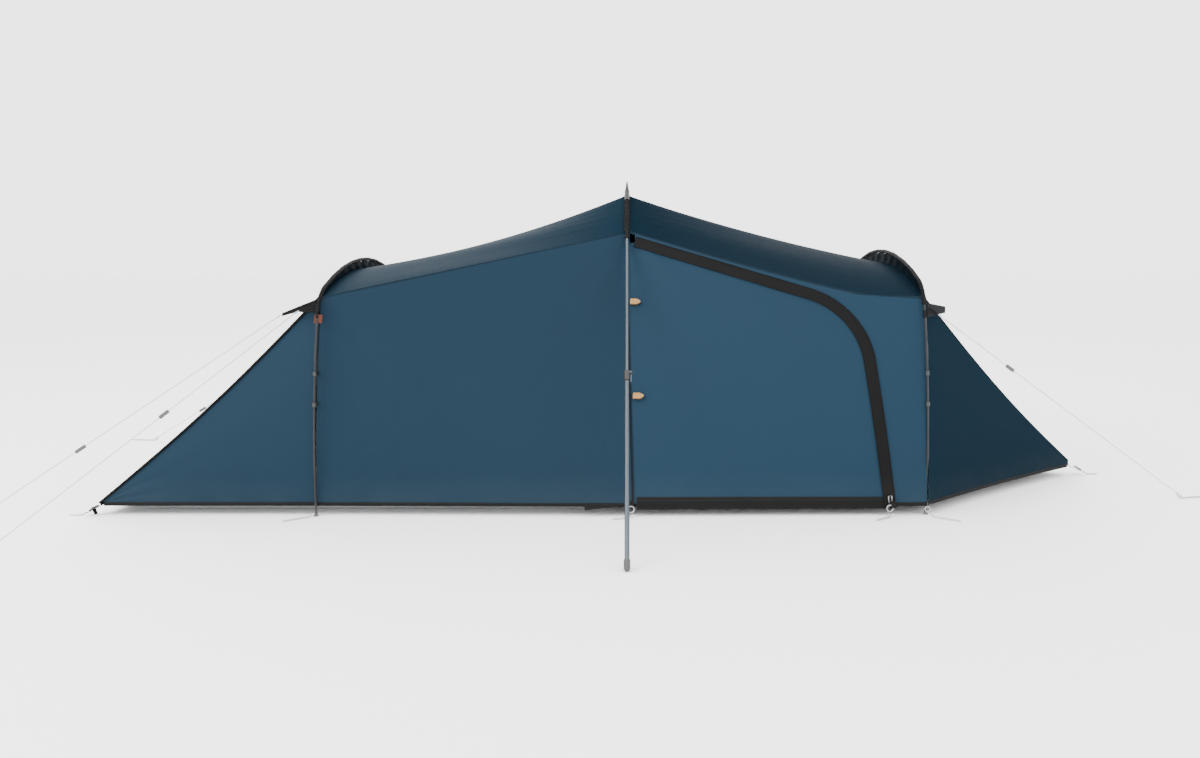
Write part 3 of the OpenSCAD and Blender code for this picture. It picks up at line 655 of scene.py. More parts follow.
def mix_metal(name, colour, roughness=0.3, metallic=1.0):
    """Drawn or anodised tube and wire, with handling marks and dust at the ground."""
    f = Finish(name, roughness, metallic)
    g = f.effect("grain", Place=f.place, Scale=420.0)
    low = f.effect("dust", Place=f.place, Reach=0.06)
    rubbed = f.mix(f.spread(g["Wear"], 0.0, 0.5), colour, tinted(colour, 0.82))
    f.feed("Base Color", f.mix(f.spread(low["Dust"], 0.0, 0.35), rubbed, DUST))
    f.feed("Roughness", f.spread(g["Wear"], roughness - 0.05, roughness + 0.16))
    f.bump(g["Height"], 0.00003, 0.4)
    return f


def mix_braid(name, colour, fleck):
    """Braided line with a fleck that runs round it."""
    f = Finish(name, 0.65, Sheen_Weight=0.2)
    ribs = f.effect("webbing", Threads=f.threads, Pitch=0.0026)
    f.feed("Base Color", f.mix(ribs["Height"], fleck, colour))
    f.feed("Roughness", f.spread(ribs["Height"], 0.75, 0.55))
    f.bump(ribs["Height"], 0.0004, 0.8)
    return f


def mix_mesh(name, colour):
    """Fine insect mesh, open between its threads."""
    f = Finish(name, 0.7)
    weave = f.effect("ripstop", Threads=f.threads, Pitch=0.003)
    life = f.effect("handling", Place=f.place)
    f.feed("Base Color", f.mix(life["Shade"], tinted(colour, 0.8), tinted(colour, 1.3)))
    f.feed("Alpha", f.spread(weave["Rib"], 0.45, 0.95))
    f.feed("Roughness", f.spread(life["Shade"], 0.6, 0.8))
    f.bump(weave["Height"], 0.0002, 0.4)
    return f


def mix_floor(name, colour):
    """Seamless pale studio floor."""
    f = Finish(name, 0.9)
    life = f.effect("handling", Place=f.place, Scale=0.7)
    f.feed("Base Color", f.mix(life["Shade"], tinted(colour, 0.995), colour))
    return f


# ---- sizes and colours that a user would change --------------------------------------------
def colour_property(label, words, default):
    return bpy.props.FloatVectorProperty(name=label, description=words, default=default,
                                         subtype="COLOR", size=3, min=0.0, max=1.0)


def length_property(label, words, default):
    return bpy.props.FloatProperty(name=label, description=words, default=default, min=0.0,
                                   unit="LENGTH", precision=4)


class TentLooks(bpy.types.PropertyGroup):
    """Sizes and colours of the tent's cloth, trim and hardware."""

    # the door side's walls and the door take a lighter copy of this colour: painted light for the
    # side that faces the key light
    wall_colour: colour_property("Walls", "Colour of the walls and the door",
                                 (0.0040, 0.0150, 0.0270))
    # the right roof half and the pointed tail take darker copies of this colour: painted shade for
    # the side turned from the key light
    roof_colour: colour_property("Roof", "Colour of the roof and the tails",
                                 (0.0026, 0.0105, 0.0185))
    trim_colour: colour_property("Trim", "Colour of webbing and binding", (0.0018, 0.0018, 0.0020))
    flap_colour: colour_property("Storm flap", "Colour of the flap", (0.0022, 0.0021, 0.0021))
    inner_colour: colour_property("Inner tent", "Colour of the inner cloth", (0.52, 0.44, 0.25))
    toggle_colour: colour_property("Toggles", "Colour of the toggles", (0.21, 0.105, 0.022))
    line_colour: colour_property("Guys", "Colour of the guy lines", (0.42, 0.43, 0.44))
    cloth_t: length_property("Cloth", "Thickness of the fly's cloth", 0.0009)
    binding_w: length_property("Binding", "Depth of the binding along the hem", 0.014)
    flap_w: length_property("Flap", "Width of the storm flap over the zip", 0.046)
    ripstop: length_property("Ripstop", "Spacing of the thicker threads", 0.0065)
    guy_d: length_property("Guy", "Diameter of a guy line", 0.003)
    tooth: length_property("Tooth", "Spacing of the zip's teeth", 0.005)


class StudioLooks(bpy.types.PropertyGroup):
    """Camera, light and floor of the studio."""

    eye_back: length_property("Distance", "Distance of the camera from the ridge line", 4.19)
    eye_height: length_property("Height", "Height of the camera", 1.04)
    lens: bpy.props.FloatProperty(name="Lens", description="Focal length", default=27.0,
                                  min=10.0, max=200.0, unit="CAMERA")
    floor_colour: colour_property("Floor", "Colour of the floor", (0.96, 0.96, 0.96))
    sky: bpy.props.FloatProperty(name="Sky", description="Strength of the even light", default=3.4,
                                 min=0.0, max=10.0)
    key: bpy.props.FloatProperty(name="Key", description="Strength of the soft key light",
                                 default=420.0, min=0.0, max=5000.0, unit="POWER")


# ---- guys ----------------------------------------------------------------------------------
GUYS = (
    ((-1.362, -0.645, 0.789), (-2.396, -1.076, 0.016)),
    ((-1.290, -0.655, 0.806), (-2.158, -1.216, 0.016)),
    ((-1.290, 0.655, 0.806), (-2.578, 0.750, 0.016)),
    ((-1.362, 0.645, 0.789), (-2.160, 1.216, 0.016)),
    ((1.226, -0.645, 0.790), (2.318, -0.410, 0.016)),
    ((1.226, 0.645, 0.790), (2.052, 1.228, 0.016)),
)


def loop_of_line(name, at, along, reach, finish):
    """A small teardrop loop of guy line, standing in the line's own plane."""
    level = Vector((along.x, along.y, 0)).normalized()
    up = Vector((0, 0, 1))

    def line(t):
        turn = 2 * math.pi * t
        out = reach * (1 - math.cos(turn)) / 2
        lift = 0.42 * reach * math.sin(turn) * math.sin(turn / 2)
        return at + level * out + up * (lift - 0.35 * out)

    return tube(name, line, 0.0013, finish, "root", steps=28, around=8)


def knot_fullness(t, turn):
    """A knot swells in the middle and shows the turns of the line."""
    return 0.45 + 0.55 * swell(t) + 0.08 * math.sin(3 * turn + 9 * t)


def make_guys():
    diameter = settings().guy_d
    for number, (start, end) in enumerate(GUYS, 1):
        start, end = Vector(start), Vector(end)
        line = tube(f"guy_{number}", lambda t, a=start, b=end: a.lerp(b, t), diameter / 2,
                    "guy_braid", "root", (f"guy_line_{number}",), steps=40, around=10)
        along = (end - start).normalized()
        loop = loop_of_line(f"guy_loop_{number}", end - along * 0.003, along, 0.016, "guy_braid")
        for place_name, spot in (("top", start + along * 0.012), ("foot", end - along * 0.010)):
            def knot_line(t, c=spot, d=along):
                return c + d * (t - 0.5) * 0.014
            tube(f"guy_knot_{number}_{place_name}", knot_line, 0.0034, "guy_braid",
                              "root", steps=10, around=10, fullness=knot_fullness)


# ---- fly -----------------------------------------------------------------------------------
EDGE = 0.0015


def make_roof():
    looks = settings()
    for side_name, start, end in (("left", -HOOP_LEFT_X, -EDGE), ("right", EDGE, HOOP_RIGHT_X)):
        def surface(u, v, start=start, end=end):
            x, w = lerp(start, end, u), 2 * v - 1
            spot = roof_at(x, w)
            spot.z += roof_ruck(x, w) * (1 - abs(w) ** 6)
            return spot
        # the right half takes a darker copy of the roof cloth: painted shade for the side turned
        # from the key light
        finish = "roof_cloth" if side_name == "left" else "roof_right_shaded_cloth"
        cloth(f"roof_{side_name}", surface, 90, 56, finish,
              replaces=(f"fly_roof_{side_name}",), thickness=looks.cloth_t)
        for side in SIDES:
            def seam(t, start=start, end=end, side=side):
                x = lerp(start, end, t)
                return Vector((x, side * (seam_y(x) + 0.0013), seam_z(x) - 0.003))
            ribbon(f"seam_{side_name}_{SIDE_NAME[side]}", seam, upward, 0.011, 0.0009,
                   "seam_cloth", steps=60)

    def apex_band(t):
        w = 2 * t - 1
        return roof_at(0, w) + Vector((0, 0.0006 * w, 0.0016))
    ribbon("apex_band", apex_band, along_ridge, 0.026, 0.0012, "trim_sewn", steps=40,
           outward=upward)


def wall_surface(start, end, side):
    """A wall from one x to another; each end is a number or the hinge's line."""
    def surface(u, v):
        last = hinge_x(lerp(seam_z(start), HEM_Z, v)) if end is None else end
        x = lerp(start, last, u)
        z = lerp(seam_z(x), HEM_Z, v)
        return on_wall(x, z, ruck(x, z) * swell(v) ** 0.5 * min(1.0, 9 * u, 9 * (1 - u)), side)
    return surface


def fixed_panel_surface(u, v):
    """Between the zip and the right hoop; v runs down the zip, u runs out to the hoop."""
    edge_x = HOOP_RIGHT_X
    edge_z = seam_z(edge_x)
    turn_z = edge_z - 0.056
    x, z = zip_spot(v, ZIP_HALF)
    if z > turn_z:
        far_x = min(x + 0.25 * max(0.0, x - 0.5), edge_x)
        far_z = seam_z(far_x)
    else:
        far_x, far_z = edge_x, lerp(HEM_Z, edge_z, (z - HEM_Z) / (turn_z - HEM_Z))
    px, pz = lerp(x, far_x, u), lerp(z, far_z, u)
    return on_wall(px, pz, 0.4 * ruck(px, pz) * swell(u))


def make_walls():
    looks = settings()
    walls = (
        ("left_front", wall_surface(-HOOP_LEFT_X, None, -1), "wall_cloth"),
        ("left_back", wall_surface(-HOOP_LEFT_X, -EDGE, 1), "wall_cloth"),
        # the door side's walls take a lighter copy of the wall cloth: painted light for the side
        # that faces the key light
        ("right_back", wall_surface(HOOP_RIGHT_X, EDGE, 1), "door_side_lit_cloth"),
        ("right_front", fixed_panel_surface, "door_side_lit_cloth"),
    )
    for label, surface, finish in walls:
        cloth(f"wall_{label}", surface, 100, 80, finish, replaces=(f"fly_wall_{label}",),
              thickness=looks.cloth_t)

    def hinge_seam(t):
        z = lerp(HEM_Z, HINGE_TOP.z + 0.02, t)
        return on_wall(hinge_x(z) - 0.0104, z, 0.0016)
    ribbon("hinge_seam", hinge_seam, along_ridge, 0.009, 0.0012, "seam_dark",
           steps=50)

    def back_seam(t):
        z = lerp(HEM_Z, seam_z(0), t)
        return on_wall(0.0, z, 0.0016, 1)
    ribbon("back_seam", back_seam, along_ridge, 0.012, 0.0012, "seam_dark",
           steps=50)


def make_tails():
    looks = settings()

    def end_surface(u, v):
        spot = end_at(2 * u - 1, v)
        spot.x -= 0.0016 * math.sin(26 * u) * swell(v) * (1 - v)
        return spot
    cloth("end_left", end_surface, 70, 60, "tail_cloth",
          replaces=("fly_end_left",), thickness=looks.cloth_t)
    for side in SIDES:
        label = SIDE_NAME[side]

        def tail_surface(u, v, side=side):
            spot = tail_side_at(side, u, 0.985 * v)
            spot.y += side * fan(spot.x, spot.z, -TAIL_X, HEM_Z, 0.5, 24, 0.0022) * swell(u)
            return spot
        cloth(f"tail_left_{label}", tail_surface, 60, 50, "tail_cloth",
              replaces=(f"fly_tail_left_{label}",), thickness=looks.cloth_t)

        def tip_surface(u, v, side=side):
            spot = tip_at(u, 0.97 * v, side)
            spot.y += side * 0.0020 * math.sin(30 * u) * swell(v) * swell(u)
            return spot
        # the pointed tail takes a darker copy of the roof cloth: painted shade for the side turned
        # from the key light
        cloth(f"tail_right_{label}", tip_surface, 64, 60, "tail_right_shaded_cloth",
              replaces=(f"fly_tail_right_{label}",), thickness=looks.cloth_t)
        tube(f"tail_left_edge_{label}",
             lambda t, s=side: end_at(s, t) + Vector((-0.002, s * 0.003, 0)),
             0.0052, "trim_sewn", steps=50, around=8,
             fullness=lambda t, a: 1 + 0.15 * math.sin(a * 2))
        tube(f"tail_right_edge_{label}", lambda t, s=side: tip_at(CREASE_U, 0.97 * t, s),
             0.0026, "seam_dark", steps=40, around=8)

    tube("tail_right_ridge", lambda t: tip_at(0, 0.97 * t, 1) + Vector((0, 0, 0.001)), 0.0026,
         "seam_dark", steps=40, around=8)


# ---- door ----------------------------------------------------------------------------------
TOGGLE_HEIGHTS = (("upper", 0.823), ("lower", 0.447))
TOGGLE_OUT = 0.020
TOGGLE_TILT = math.radians(-24)
TOGGLE_GROOVE_X = 0.03125
TOGGLE_ROOT = 0.010
TOOTH_SIZE = (0.0024, 0.0022, 0.0042)


def door_surface(u, v):
    x, z = zip_spot(v, -ZIP_HALF)
    px = lerp(hinge_x(z), x, u)
    return on_wall(px, z, ruck(px, z) * swell(u) * min(1.0, 6 * (1 - v) + 0.2))


def teeth(name, shift, body, replaces=()):
    """A row of moulded zip teeth."""
    pitch = settings().tooth
    mesh = bmesh.new()
    count = int(ZIP_LENGTH / pitch)
    for i in range(count):
        x, z = zip_spot((i + 0.5) / count, shift)
        x_next, z_next = zip_spot(min(1.0, (i + 0.7) / count), shift)
        made = bmesh.ops.create_cube(mesh, size=1.0)["verts"]
        bmesh.ops.scale(mesh, verts=made, vec=TOOTH_SIZE)
        turn = math.atan2(z_next - z, x_next - x)
        for vert in made:
            a, b = vert.co.x, vert.co.z
            vert.co.x = a * math.cos(turn) - b * math.sin(turn)
            vert.co.z = a * math.sin(turn) + b * math.cos(turn)
        bmesh.ops.translate(mesh, verts=made, vec=on_wall(x, z, 0.0016))
    return place(mesh, name, "zip_moulded", body, replaces, smooth=False)


def ring_piece(name, centre, axis, radius, wire_r, finish, body="root"):
    """A closed wire ring."""
    side = axis.orthogonal().normalized()
    other = axis.cross(side).normalized()

    def surface(u, v):
        a, b = 2 * math.pi * u, 2 * math.pi * v
        out = math.cos(a) * side + math.sin(a) * other
        return centre + out * (radius + wire_r * math.cos(b)) + axis * wire_r * math.sin(b)

    mesh, _, _ = lay(surface, 36, 10, 0, None, closed=True)
    return place(mesh, name, finish, body)


def make_door():
    looks = settings()
    flap = looks.flap_w
    # the door takes the lighter copy of the wall cloth: painted light for the side that faces the
    # key light
    cloth("door", door_surface, 100, 90, "door_side_lit_cloth", body="door", replaces=("door_panel",),
          thickness=looks.cloth_t)

    def flap_surface(u, v):
        x, z = zip_spot(v, (u - 0.5) * flap)
        lift = 0.0045 + 0.0016 * math.sin(math.pi * u) + 0.0005 * math.sin(46 * v)
        return on_wall(x, z, lift)
    cloth("storm_flap", flap_surface, 8, 150, "flap_cloth", body="door",
          replaces=("door_storm_flap",), thickness=0.0016)
    for edge, shift in (("upper", 0.5), ("lower", -0.5)):
        def rim(t, shift=shift):
            x, z = zip_spot(t, shift * (flap - 0.002))
            return on_wall(x, z, 0.0052)
        tube(f"storm_flap_{edge}_edge", rim, 0.0013, "trim_sewn", "door",
             steps=120, around=6)

    def hem_surface(u, v):
        x = lerp(hinge_x(HEM_Z) + 0.004, ZIP_END[0] - ZIP_HALF, u)
        z = HEM_Z + 0.024 - 0.046 * v
        below = min(0, z - HEM_Z)
        return on_wall(x, max(z, HEM_Z), 0.0018) + Vector((0, 0.03 * below, below))
    cloth("door_hem_band", hem_surface, 80, 8, "trim_sewn", body="door",
          replaces=("door_hem",), thickness=0.0014)
    teeth("zip_teeth_fly", 0.0026, "root", ("zip_row",))
    teeth("zip_teeth_door", -0.0026, "door")
    for label, z in TOGGLE_HEIGHTS:
        make_toggle_trim(label, z)


def make_toggle_trim(label, z):
    """A dark ring in a toggle's groove, which is painted shade in the groove, and the webbing loop
    that holds its stem.
    """
    up = (z - HEM_Z) / (HINGE_TOP.z - HEM_Z)
    pin = HINGE_FOOT.lerp(HINGE_TOP, up) - Vector((0, TOGGLE_OUT, 0))
    lean = math.atan2(wall_y(0.060, z) - wall_y(0.010, z), 0.050)
    turned = Matrix.Rotation(-lean, 3, "Z") @ Matrix.Rotation(TOGGLE_TILT, 3, "X")
    mesh = bmesh.new()
    bmesh.ops.create_cube(mesh, size=1.0)
    bmesh.ops.scale(mesh, verts=mesh.verts[:], vec=(0.0021, 0.0104, 0.0236))
    bmesh.ops.bevel(mesh, geom=mesh.edges[:], offset=0.0007, segments=2, profile=0.5,
                    affect="EDGES", material=-1)
    for vert in mesh.verts:
        vert.co = pin + turned @ (vert.co + Vector((TOGGLE_GROOVE_X, 0, 0)))
    # a darker brown than the toggle, set in its groove: painted shade where the groove is recessed
    place(mesh, f"toggle_{label}_ring", "toggle_groove_shade", f"toggle_{label}",
          smooth=False)
    root_x = pin.x + TOGGLE_ROOT
    root = Vector((root_x, -wall_y(root_x, z), z))
    eye = pin + Vector((0.0004, 0, 0))

    def loop_line(t):
        out = swell(t)
        return root.lerp(eye, out) + Vector((0, -0.0022 * out, 0.010 * (0.5 - t) * (1 - out)))
    ribbon(f"toggle_{label}_loop", loop_line, along_ridge, 0.0045, 0.0011, "trim_strap", "door",
           steps=20)


# ---- hoops ---------------------------------------------------------------------------------
CUFF_R = 0.0092
CUFF_L = 0.030
PATCH_R = 0.0072
PATCH_Z = 0.790


def hoop_track(hoop, last):
    """Headings spaced evenly along the pole, from -last to last."""
    half = [i / 60 * last for i in range(61)]
    points = [hoop.at(a) for a in half]
    runs = [0.0]
    for a, b in zip(points, points[1:]):
        runs.append(runs[-1] + (b - a).length)

    def heading(t):
        s = abs(2 * t - 1) * runs[-1]
        i = max(j for j in range(60) if runs[j] <= s + 1e-12)
        part = min(1.0, (s - runs[i]) / (runs[i + 1] - runs[i]))
        return math.copysign(lerp(half[i], half[i + 1], part), 2 * t - 1)
    return heading


def make_hoops():
    for k, hoop in enumerate(HOOPS):
        label = ("left", "right")[k]
        heading = hoop_track(hoop, SLEEVE_END)

        def fullness(t, turn, phase=k):
            rucks = math.sin(150 * t + 2 * math.sin(turn + phase)) * 0.6 + math.sin(67 * t + turn)
            return 1 + 0.05 * rucks

        tube(f"sleeve_{label}", lambda t, h=hoop, f=heading: h.at(f(t)), SLEEVE_R, "trim_plain",
             replaces=("hoop_sleeves",) if k == 0 else (), steps=260,
             around=14, fullness=fullness)
        for side in SIDES:
            top_heading = hoop_track(hoop, WEB_END)

            def web(u, v, hoop=hoop, side=side, top_heading=top_heading):
                low = roof_at(hoop.x, side * 0.96 * (1 - u))
                high = hoop.at(top_heading(0.5 + 0.5 * side * (1 - u)), -SLEEVE_R)
                spot = low.lerp(high, v)
                spot.x += 0.003 * swell(v) * math.sin(40 * u) * u + 0.0015 * swell(v)
                return spot
            cloth(f"hoop_web_{label}_{SIDE_NAME[side]}", web, 60, 10, "web_cloth",
                  replaces=("hoop_web",) if (k == 0 and side < 0) else (),
                  thickness=0.0009,
                  outward=lambda spot, k=k: Vector((1 if k else -1, 0, 0)))
            for part, a, radius in (("cuff", SLEEVE_END, CUFF_R),
                                    ("patch", hoop.heading_at(PATCH_Z), PATCH_R)):
                spot = hoop.at(side * a)
                ahead = (hoop.at(side * (a + 0.004)) - hoop.at(side * (a - 0.004))).normalized()
                tube(f"hoop_{part}_{label}_{SIDE_NAME[side]}",
                     lambda t, c=spot, d=ahead: c + d * (t - 0.5) * CUFF_L, radius,
                     "trim_strap", steps=8, around=14)


# ---- A-frame -------------------------------------------------------------------------------
LEG_TOP_Z = APEX_Z + 0.018
FOOT_Y = 1.270
FOOT_R = 0.011
LEG_TILT = math.atan2(FOOT_Y, LEG_TOP_Z - FOOT_R)
LEG_SLEEVE = (0.058, 0.310)
LEG_BANDS = (0.300, 0.070)
LEG_MARKS = (0.430, 0.560, 0.690, 0.820, 0.950)


def on_leg(side, down, out=0.0):
    """A point at a distance down a leg's axis from the apex, moved out square to it."""
    y = side * (math.sin(LEG_TILT) * down + math.cos(LEG_TILT) * out)
    return Vector((0, y, LEG_TOP_Z - math.cos(LEG_TILT) * down + math.sin(LEG_TILT) * out))


def leg_sleeve_fullness(t, turn):
    """Loose cloth gathered along a leg's sleeve."""
    return 1 + 0.05 * math.sin(80 * t + 2 * math.sin(turn)) + 0.04 * math.sin(3 * turn + 20 * t)


def make_a_frame():
    for side in SIDES:
        label = SIDE_NAME[side]
        tube(f"leg_sleeve_{label}", lambda t, s=side: on_leg(s, lerp(*LEG_SLEEVE, t)), 0.0086,
             "trim_plain", replaces=("leg_sleeves",) if side < 0 else (),
             steps=90, around=16, fullness=leg_sleeve_fullness)
        for number, down in enumerate(LEG_BANDS, 1):
            tube(f"leg_sleeve_band_{label}_{number}",
                 lambda t, s=side, d=down: on_leg(s, d + 0.012 * t), 0.0098, "trim_strap",
                 steps=4, around=20)
        ahead = (on_leg(side, 1.0) - on_leg(side, 0.0)).normalized()
        for number, down in enumerate(LEG_MARKS, 1):
            ring_piece(f"leg_mark_{label}_{number}", on_leg(side, down), ahead, 0.00622, 0.0003,
                       "metal_dark", "root")


# ---- trim ----------------------------------------------------------------------------------
CORNER_STRAP_END = TAIL_X + 0.050
STRAP_T = 0.0018


def make_bindings():
    w = settings().binding_w
    drop = Vector((0, 0, -0.5 * w + 0.002))

    def along_wall(a, b, side):
        def line(t):
            return on_wall(lerp(a, b, t), HEM_Z, 0.0015, side) + drop
        return line
    lines = [
        ("left_front", along_wall(-HOOP_LEFT_X, HINGE_FOOT.x - 0.002, -1)),
        ("left_back", along_wall(-HOOP_LEFT_X, 0.0, 1)),
        ("right_back", along_wall(0.0, HOOP_RIGHT_X, 1)),
        ("right_front", along_wall(ZIP_END[0] + ZIP_HALF, HOOP_RIGHT_X, -1)),
        ("end", lambda t: Vector((-TAIL_X - 0.001, lerp(-HEM_HALF, HEM_HALF, t), HEM_Z)) + drop),
    ]
    for side in SIDES:
        label = SIDE_NAME[side]
        lines.append((f"tail_left_{label}", lambda t, s=side:
                      tail_side_at(s, 1.0, 0.985 * t) + Vector((0, s * 0.0015, 0)) + drop))
        lines.append((f"tail_right_{label}", lambda t, s=side:
                      tip_at(1.0, 0.96 * t, s) + Vector((0, s * 0.0015, 0.004)) + drop))
    for number, (label, line) in enumerate(lines):
        ribbon(f"hem_binding_{label}", line, downward, w, 0.0022, "trim_sewn",
               replaces=("hem_binding",) if number == 0 else (), steps=60)


def strap_between(name, start, end, width, replaces=()):
    """A taut flat strap, level across."""
    run = end - start
    level = Vector((-run.y, run.x, 0)).normalized()
    ribbon(name, lambda t: start.lerp(end, t), lambda t: level, width, STRAP_T, "trim_strap",
           replaces=replaces, steps=16, outward=upward)


def make_straps():
    for side in SIDES:
        strap_between(f"corner_strap_{SIDE_NAME[side]}",
                      Vector((-TAIL_X + 0.010, side * HEM_HALF, HEM_Z - 0.004)),
                      Vector((-CORNER_STRAP_END, side * HEM_HALF, 0.012)), 0.020,
                      replaces=("webbing_straps",) if side < 0 else ())
        strap_between(f"corner_strap_tail_{SIDE_NAME[side]}",
                      Vector((-TAIL_X - 0.030, side * HEM_HALF, 0.034)),
                      Vector((-TAIL_X - 0.014, side * (HEM_HALF + 0.004), 0.006)), 0.016)
    strap_between("tip_strap", Vector((TAIL_X - 0.030, 0, HEM_Z - 0.002)),
                  Vector((CORNER_STRAP_END, 0, 0.014)), 0.028)
    x_tail = -0.166

    def loose_end(u, v):
        x = lerp(x_tail, -0.020, u)
        top, low = HEM_Z - 0.001, lerp(HEM_Z - 0.024, HEM_Z - 0.010, u)
        out = lerp(0.008, 0.004, u) * (0.5 + 0.5 * v)
        return on_wall(x, HEM_Z, 0) + Vector((0, -out, lerp(top, low, v) - HEM_Z))
    cloth("hem_flap", loose_end, 16, 6, "trim_strap", thickness=STRAP_T)
    for number, (start, _) in enumerate(GUYS, 1):
        tip = Vector(start)
        out = -1 if tip.x < 0 else 1
        side = -1 if tip.y < 0 else 1
        far = abs(tip.x) > 1.300
        root_x = (-HOOP_LEFT_X if out < 0 else HOOP_RIGHT_X) + out * 0.010
        root_y, top, low = (0.634, 0.848, 0.818) if far else (0.640, 0.822, 0.796)

        def tab(u, v, tip=tip, root_x=root_x, root_y=root_y, top=top, low=low, side=side, out=out):
            a = Vector((root_x, side * root_y, lerp(top, low, v)))
            b = tip - Vector((out * 0.003, 0, 0)) + Vector((0, 0, lerp(0.006, -0.006, v)))
            spot = a.lerp(b, u)
            spot.y += side * 0.002 * swell(u)
            return spot
        cloth(f"guy_tab_{number}", tab, 18, 8, "trim_strap",
              thickness=0.0016)
        if tip.x < 0 and not far:
            spot = Vector((-HOOP_LEFT_X + 0.004, side * 0.648, 0.772))
            ribbon(f"shoulder_loop_{number}",
                   lambda t, c=spot: c + Vector((0.032 * (t - 0.5), 0, 0)),
                   lambda t: Vector((0.1, 0, 1)), 0.034, STRAP_T, "loop_strap", steps=8)
    for side in SIDES:
        label = SIDE_NAME[side]
        x = HOOP_RIGHT_X + 0.030

        def patch_line(t, x=x, side=side):
            return Vector((lerp(x - 0.02, x + 0.06, t), side * lerp(0.628, 0.600, t), 0.806))
        ribbon(f"tail_patch_{label}", patch_line, lambda t: Vector((0, 0, 1 - 0.55 * t)), 0.056,
               0.0016, "patch_cloth", steps=10)
        ring_piece(f"hoop_ring_{label}", Vector((HOOP_RIGHT_X - 0.004, side * 0.668, 0.030)),
                   Vector((0, 1, 0)), 0.010, 0.0015, "peg_wire")
    ring_piece("zip_foot_ring", Vector((ZIP_END[0] - 0.004, -0.672, 0.034)), Vector((0, 1, 0)),
               0.012, 0.0016, "peg_wire", "root")
    ring_piece("seam_ring", Vector((0.016, -0.680, 0.032)), Vector((0, 1, 0)), 0.012, 0.0016,
               "peg_wire", "root")
    for label, x in (("seam", 0.018), ("zip", ZIP_END[0] + 0.010)):
        def loop_line(t, x=x):
            return Vector((x, -0.6705 - 0.006 * t, lerp(HEM_Z + 0.012, 0.036, t)))
        ribbon(f"{label}_foot_loop", loop_line, along_ridge, 0.018, STRAP_T, "trim_strap", steps=8)


# ---- inner tent ----------------------------------------------------------------------------
INNER_FOOT_X = -1.950
INNER_HEAD_X = -0.066
INNER_HALF = 0.560
TUB_H = 0.110
INNER_GAP = 0.070
INNER_END_TOP = -HOOP_LEFT_X + 0.040
INNER_DOOR_HALF = 0.280
INNER_DOOR_LOW = 0.150
INNER_DOOR_TOP = 0.760
INNER_DOOR_MID = 0.550
INNER_DOOR_EYE = 0.450
INNER_CLOTH_T = 0.0008
SEAM_ALLOWANCE = 0.012


def inner_roof_at(x, w):
    bend = abs(w) ** (1 + share(x))
    top, low = ridge_z(x) - 1.1 * INNER_GAP, seam_z(x) - 0.9 * INNER_GAP
    return Vector((x, w * (seam_y(x) - 0.8 * INNER_GAP), lerp(top, low, bend)))


def inner_wall_at(x, v, side):
    start = inner_roof_at(x, side)
    return start.lerp(Vector((x, side * INNER_HALF, TUB_H + 0.001)), v)


def inner_end_at(u, v):
    return inner_roof_at(INNER_END_TOP, u).lerp(
        Vector((INNER_FOOT_X, (INNER_HALF - 0.004) * u, TUB_H + 0.001)), v)


def ray_to(outline, angle):
    """Where a ray from the middle of the inner door meets a closed outline in y and z."""
    oy, oz = 0.0, INNER_DOOR_EYE
    dy, dz = math.sin(angle), math.cos(angle)
    best = 10.0
    for (ay, az), (by, bz) in zip(outline, outline[1:] + outline[:1]):
        ey, ez = by - ay, bz - az
        flat = dy * ez - dz * ey
        if abs(flat) < 1e-12:
            continue
        reach = ((ay - oy) * ez - (az - oz) * ey) / flat
        part = ((ay - oy) * dz - (az - oz) * dy) / flat
        if reach > 0 and -1e-9 <= part <= 1 + 1e-9:
            best = min(best, reach)
    return oy + dy * best, oz + dz * best


def inner_door_outline():
    limit = math.asin((INNER_DOOR_TOP - INNER_DOOR_MID) / INNER_DOOR_HALF)
    round_top = [(INNER_DOOR_HALF * math.cos(a), INNER_DOOR_MID + INNER_DOOR_HALF * math.sin(a))
                 for a in [limit * i / 12 for i in range(13)]]
    right = [(INNER_DOOR_HALF, INNER_DOOR_LOW)] + round_top
    return right + [(-y, z) for y, z in reversed(right)]


def inner_wall_outline():
    right = [(p.y, p.z) for p in [inner_roof_at(INNER_HEAD_X, i / 8) for i in range(9)]]
    right += [(INNER_HALF, TUB_H + 0.001)]
    return right[1:] + [(-y, z) for y, z in reversed(right)]


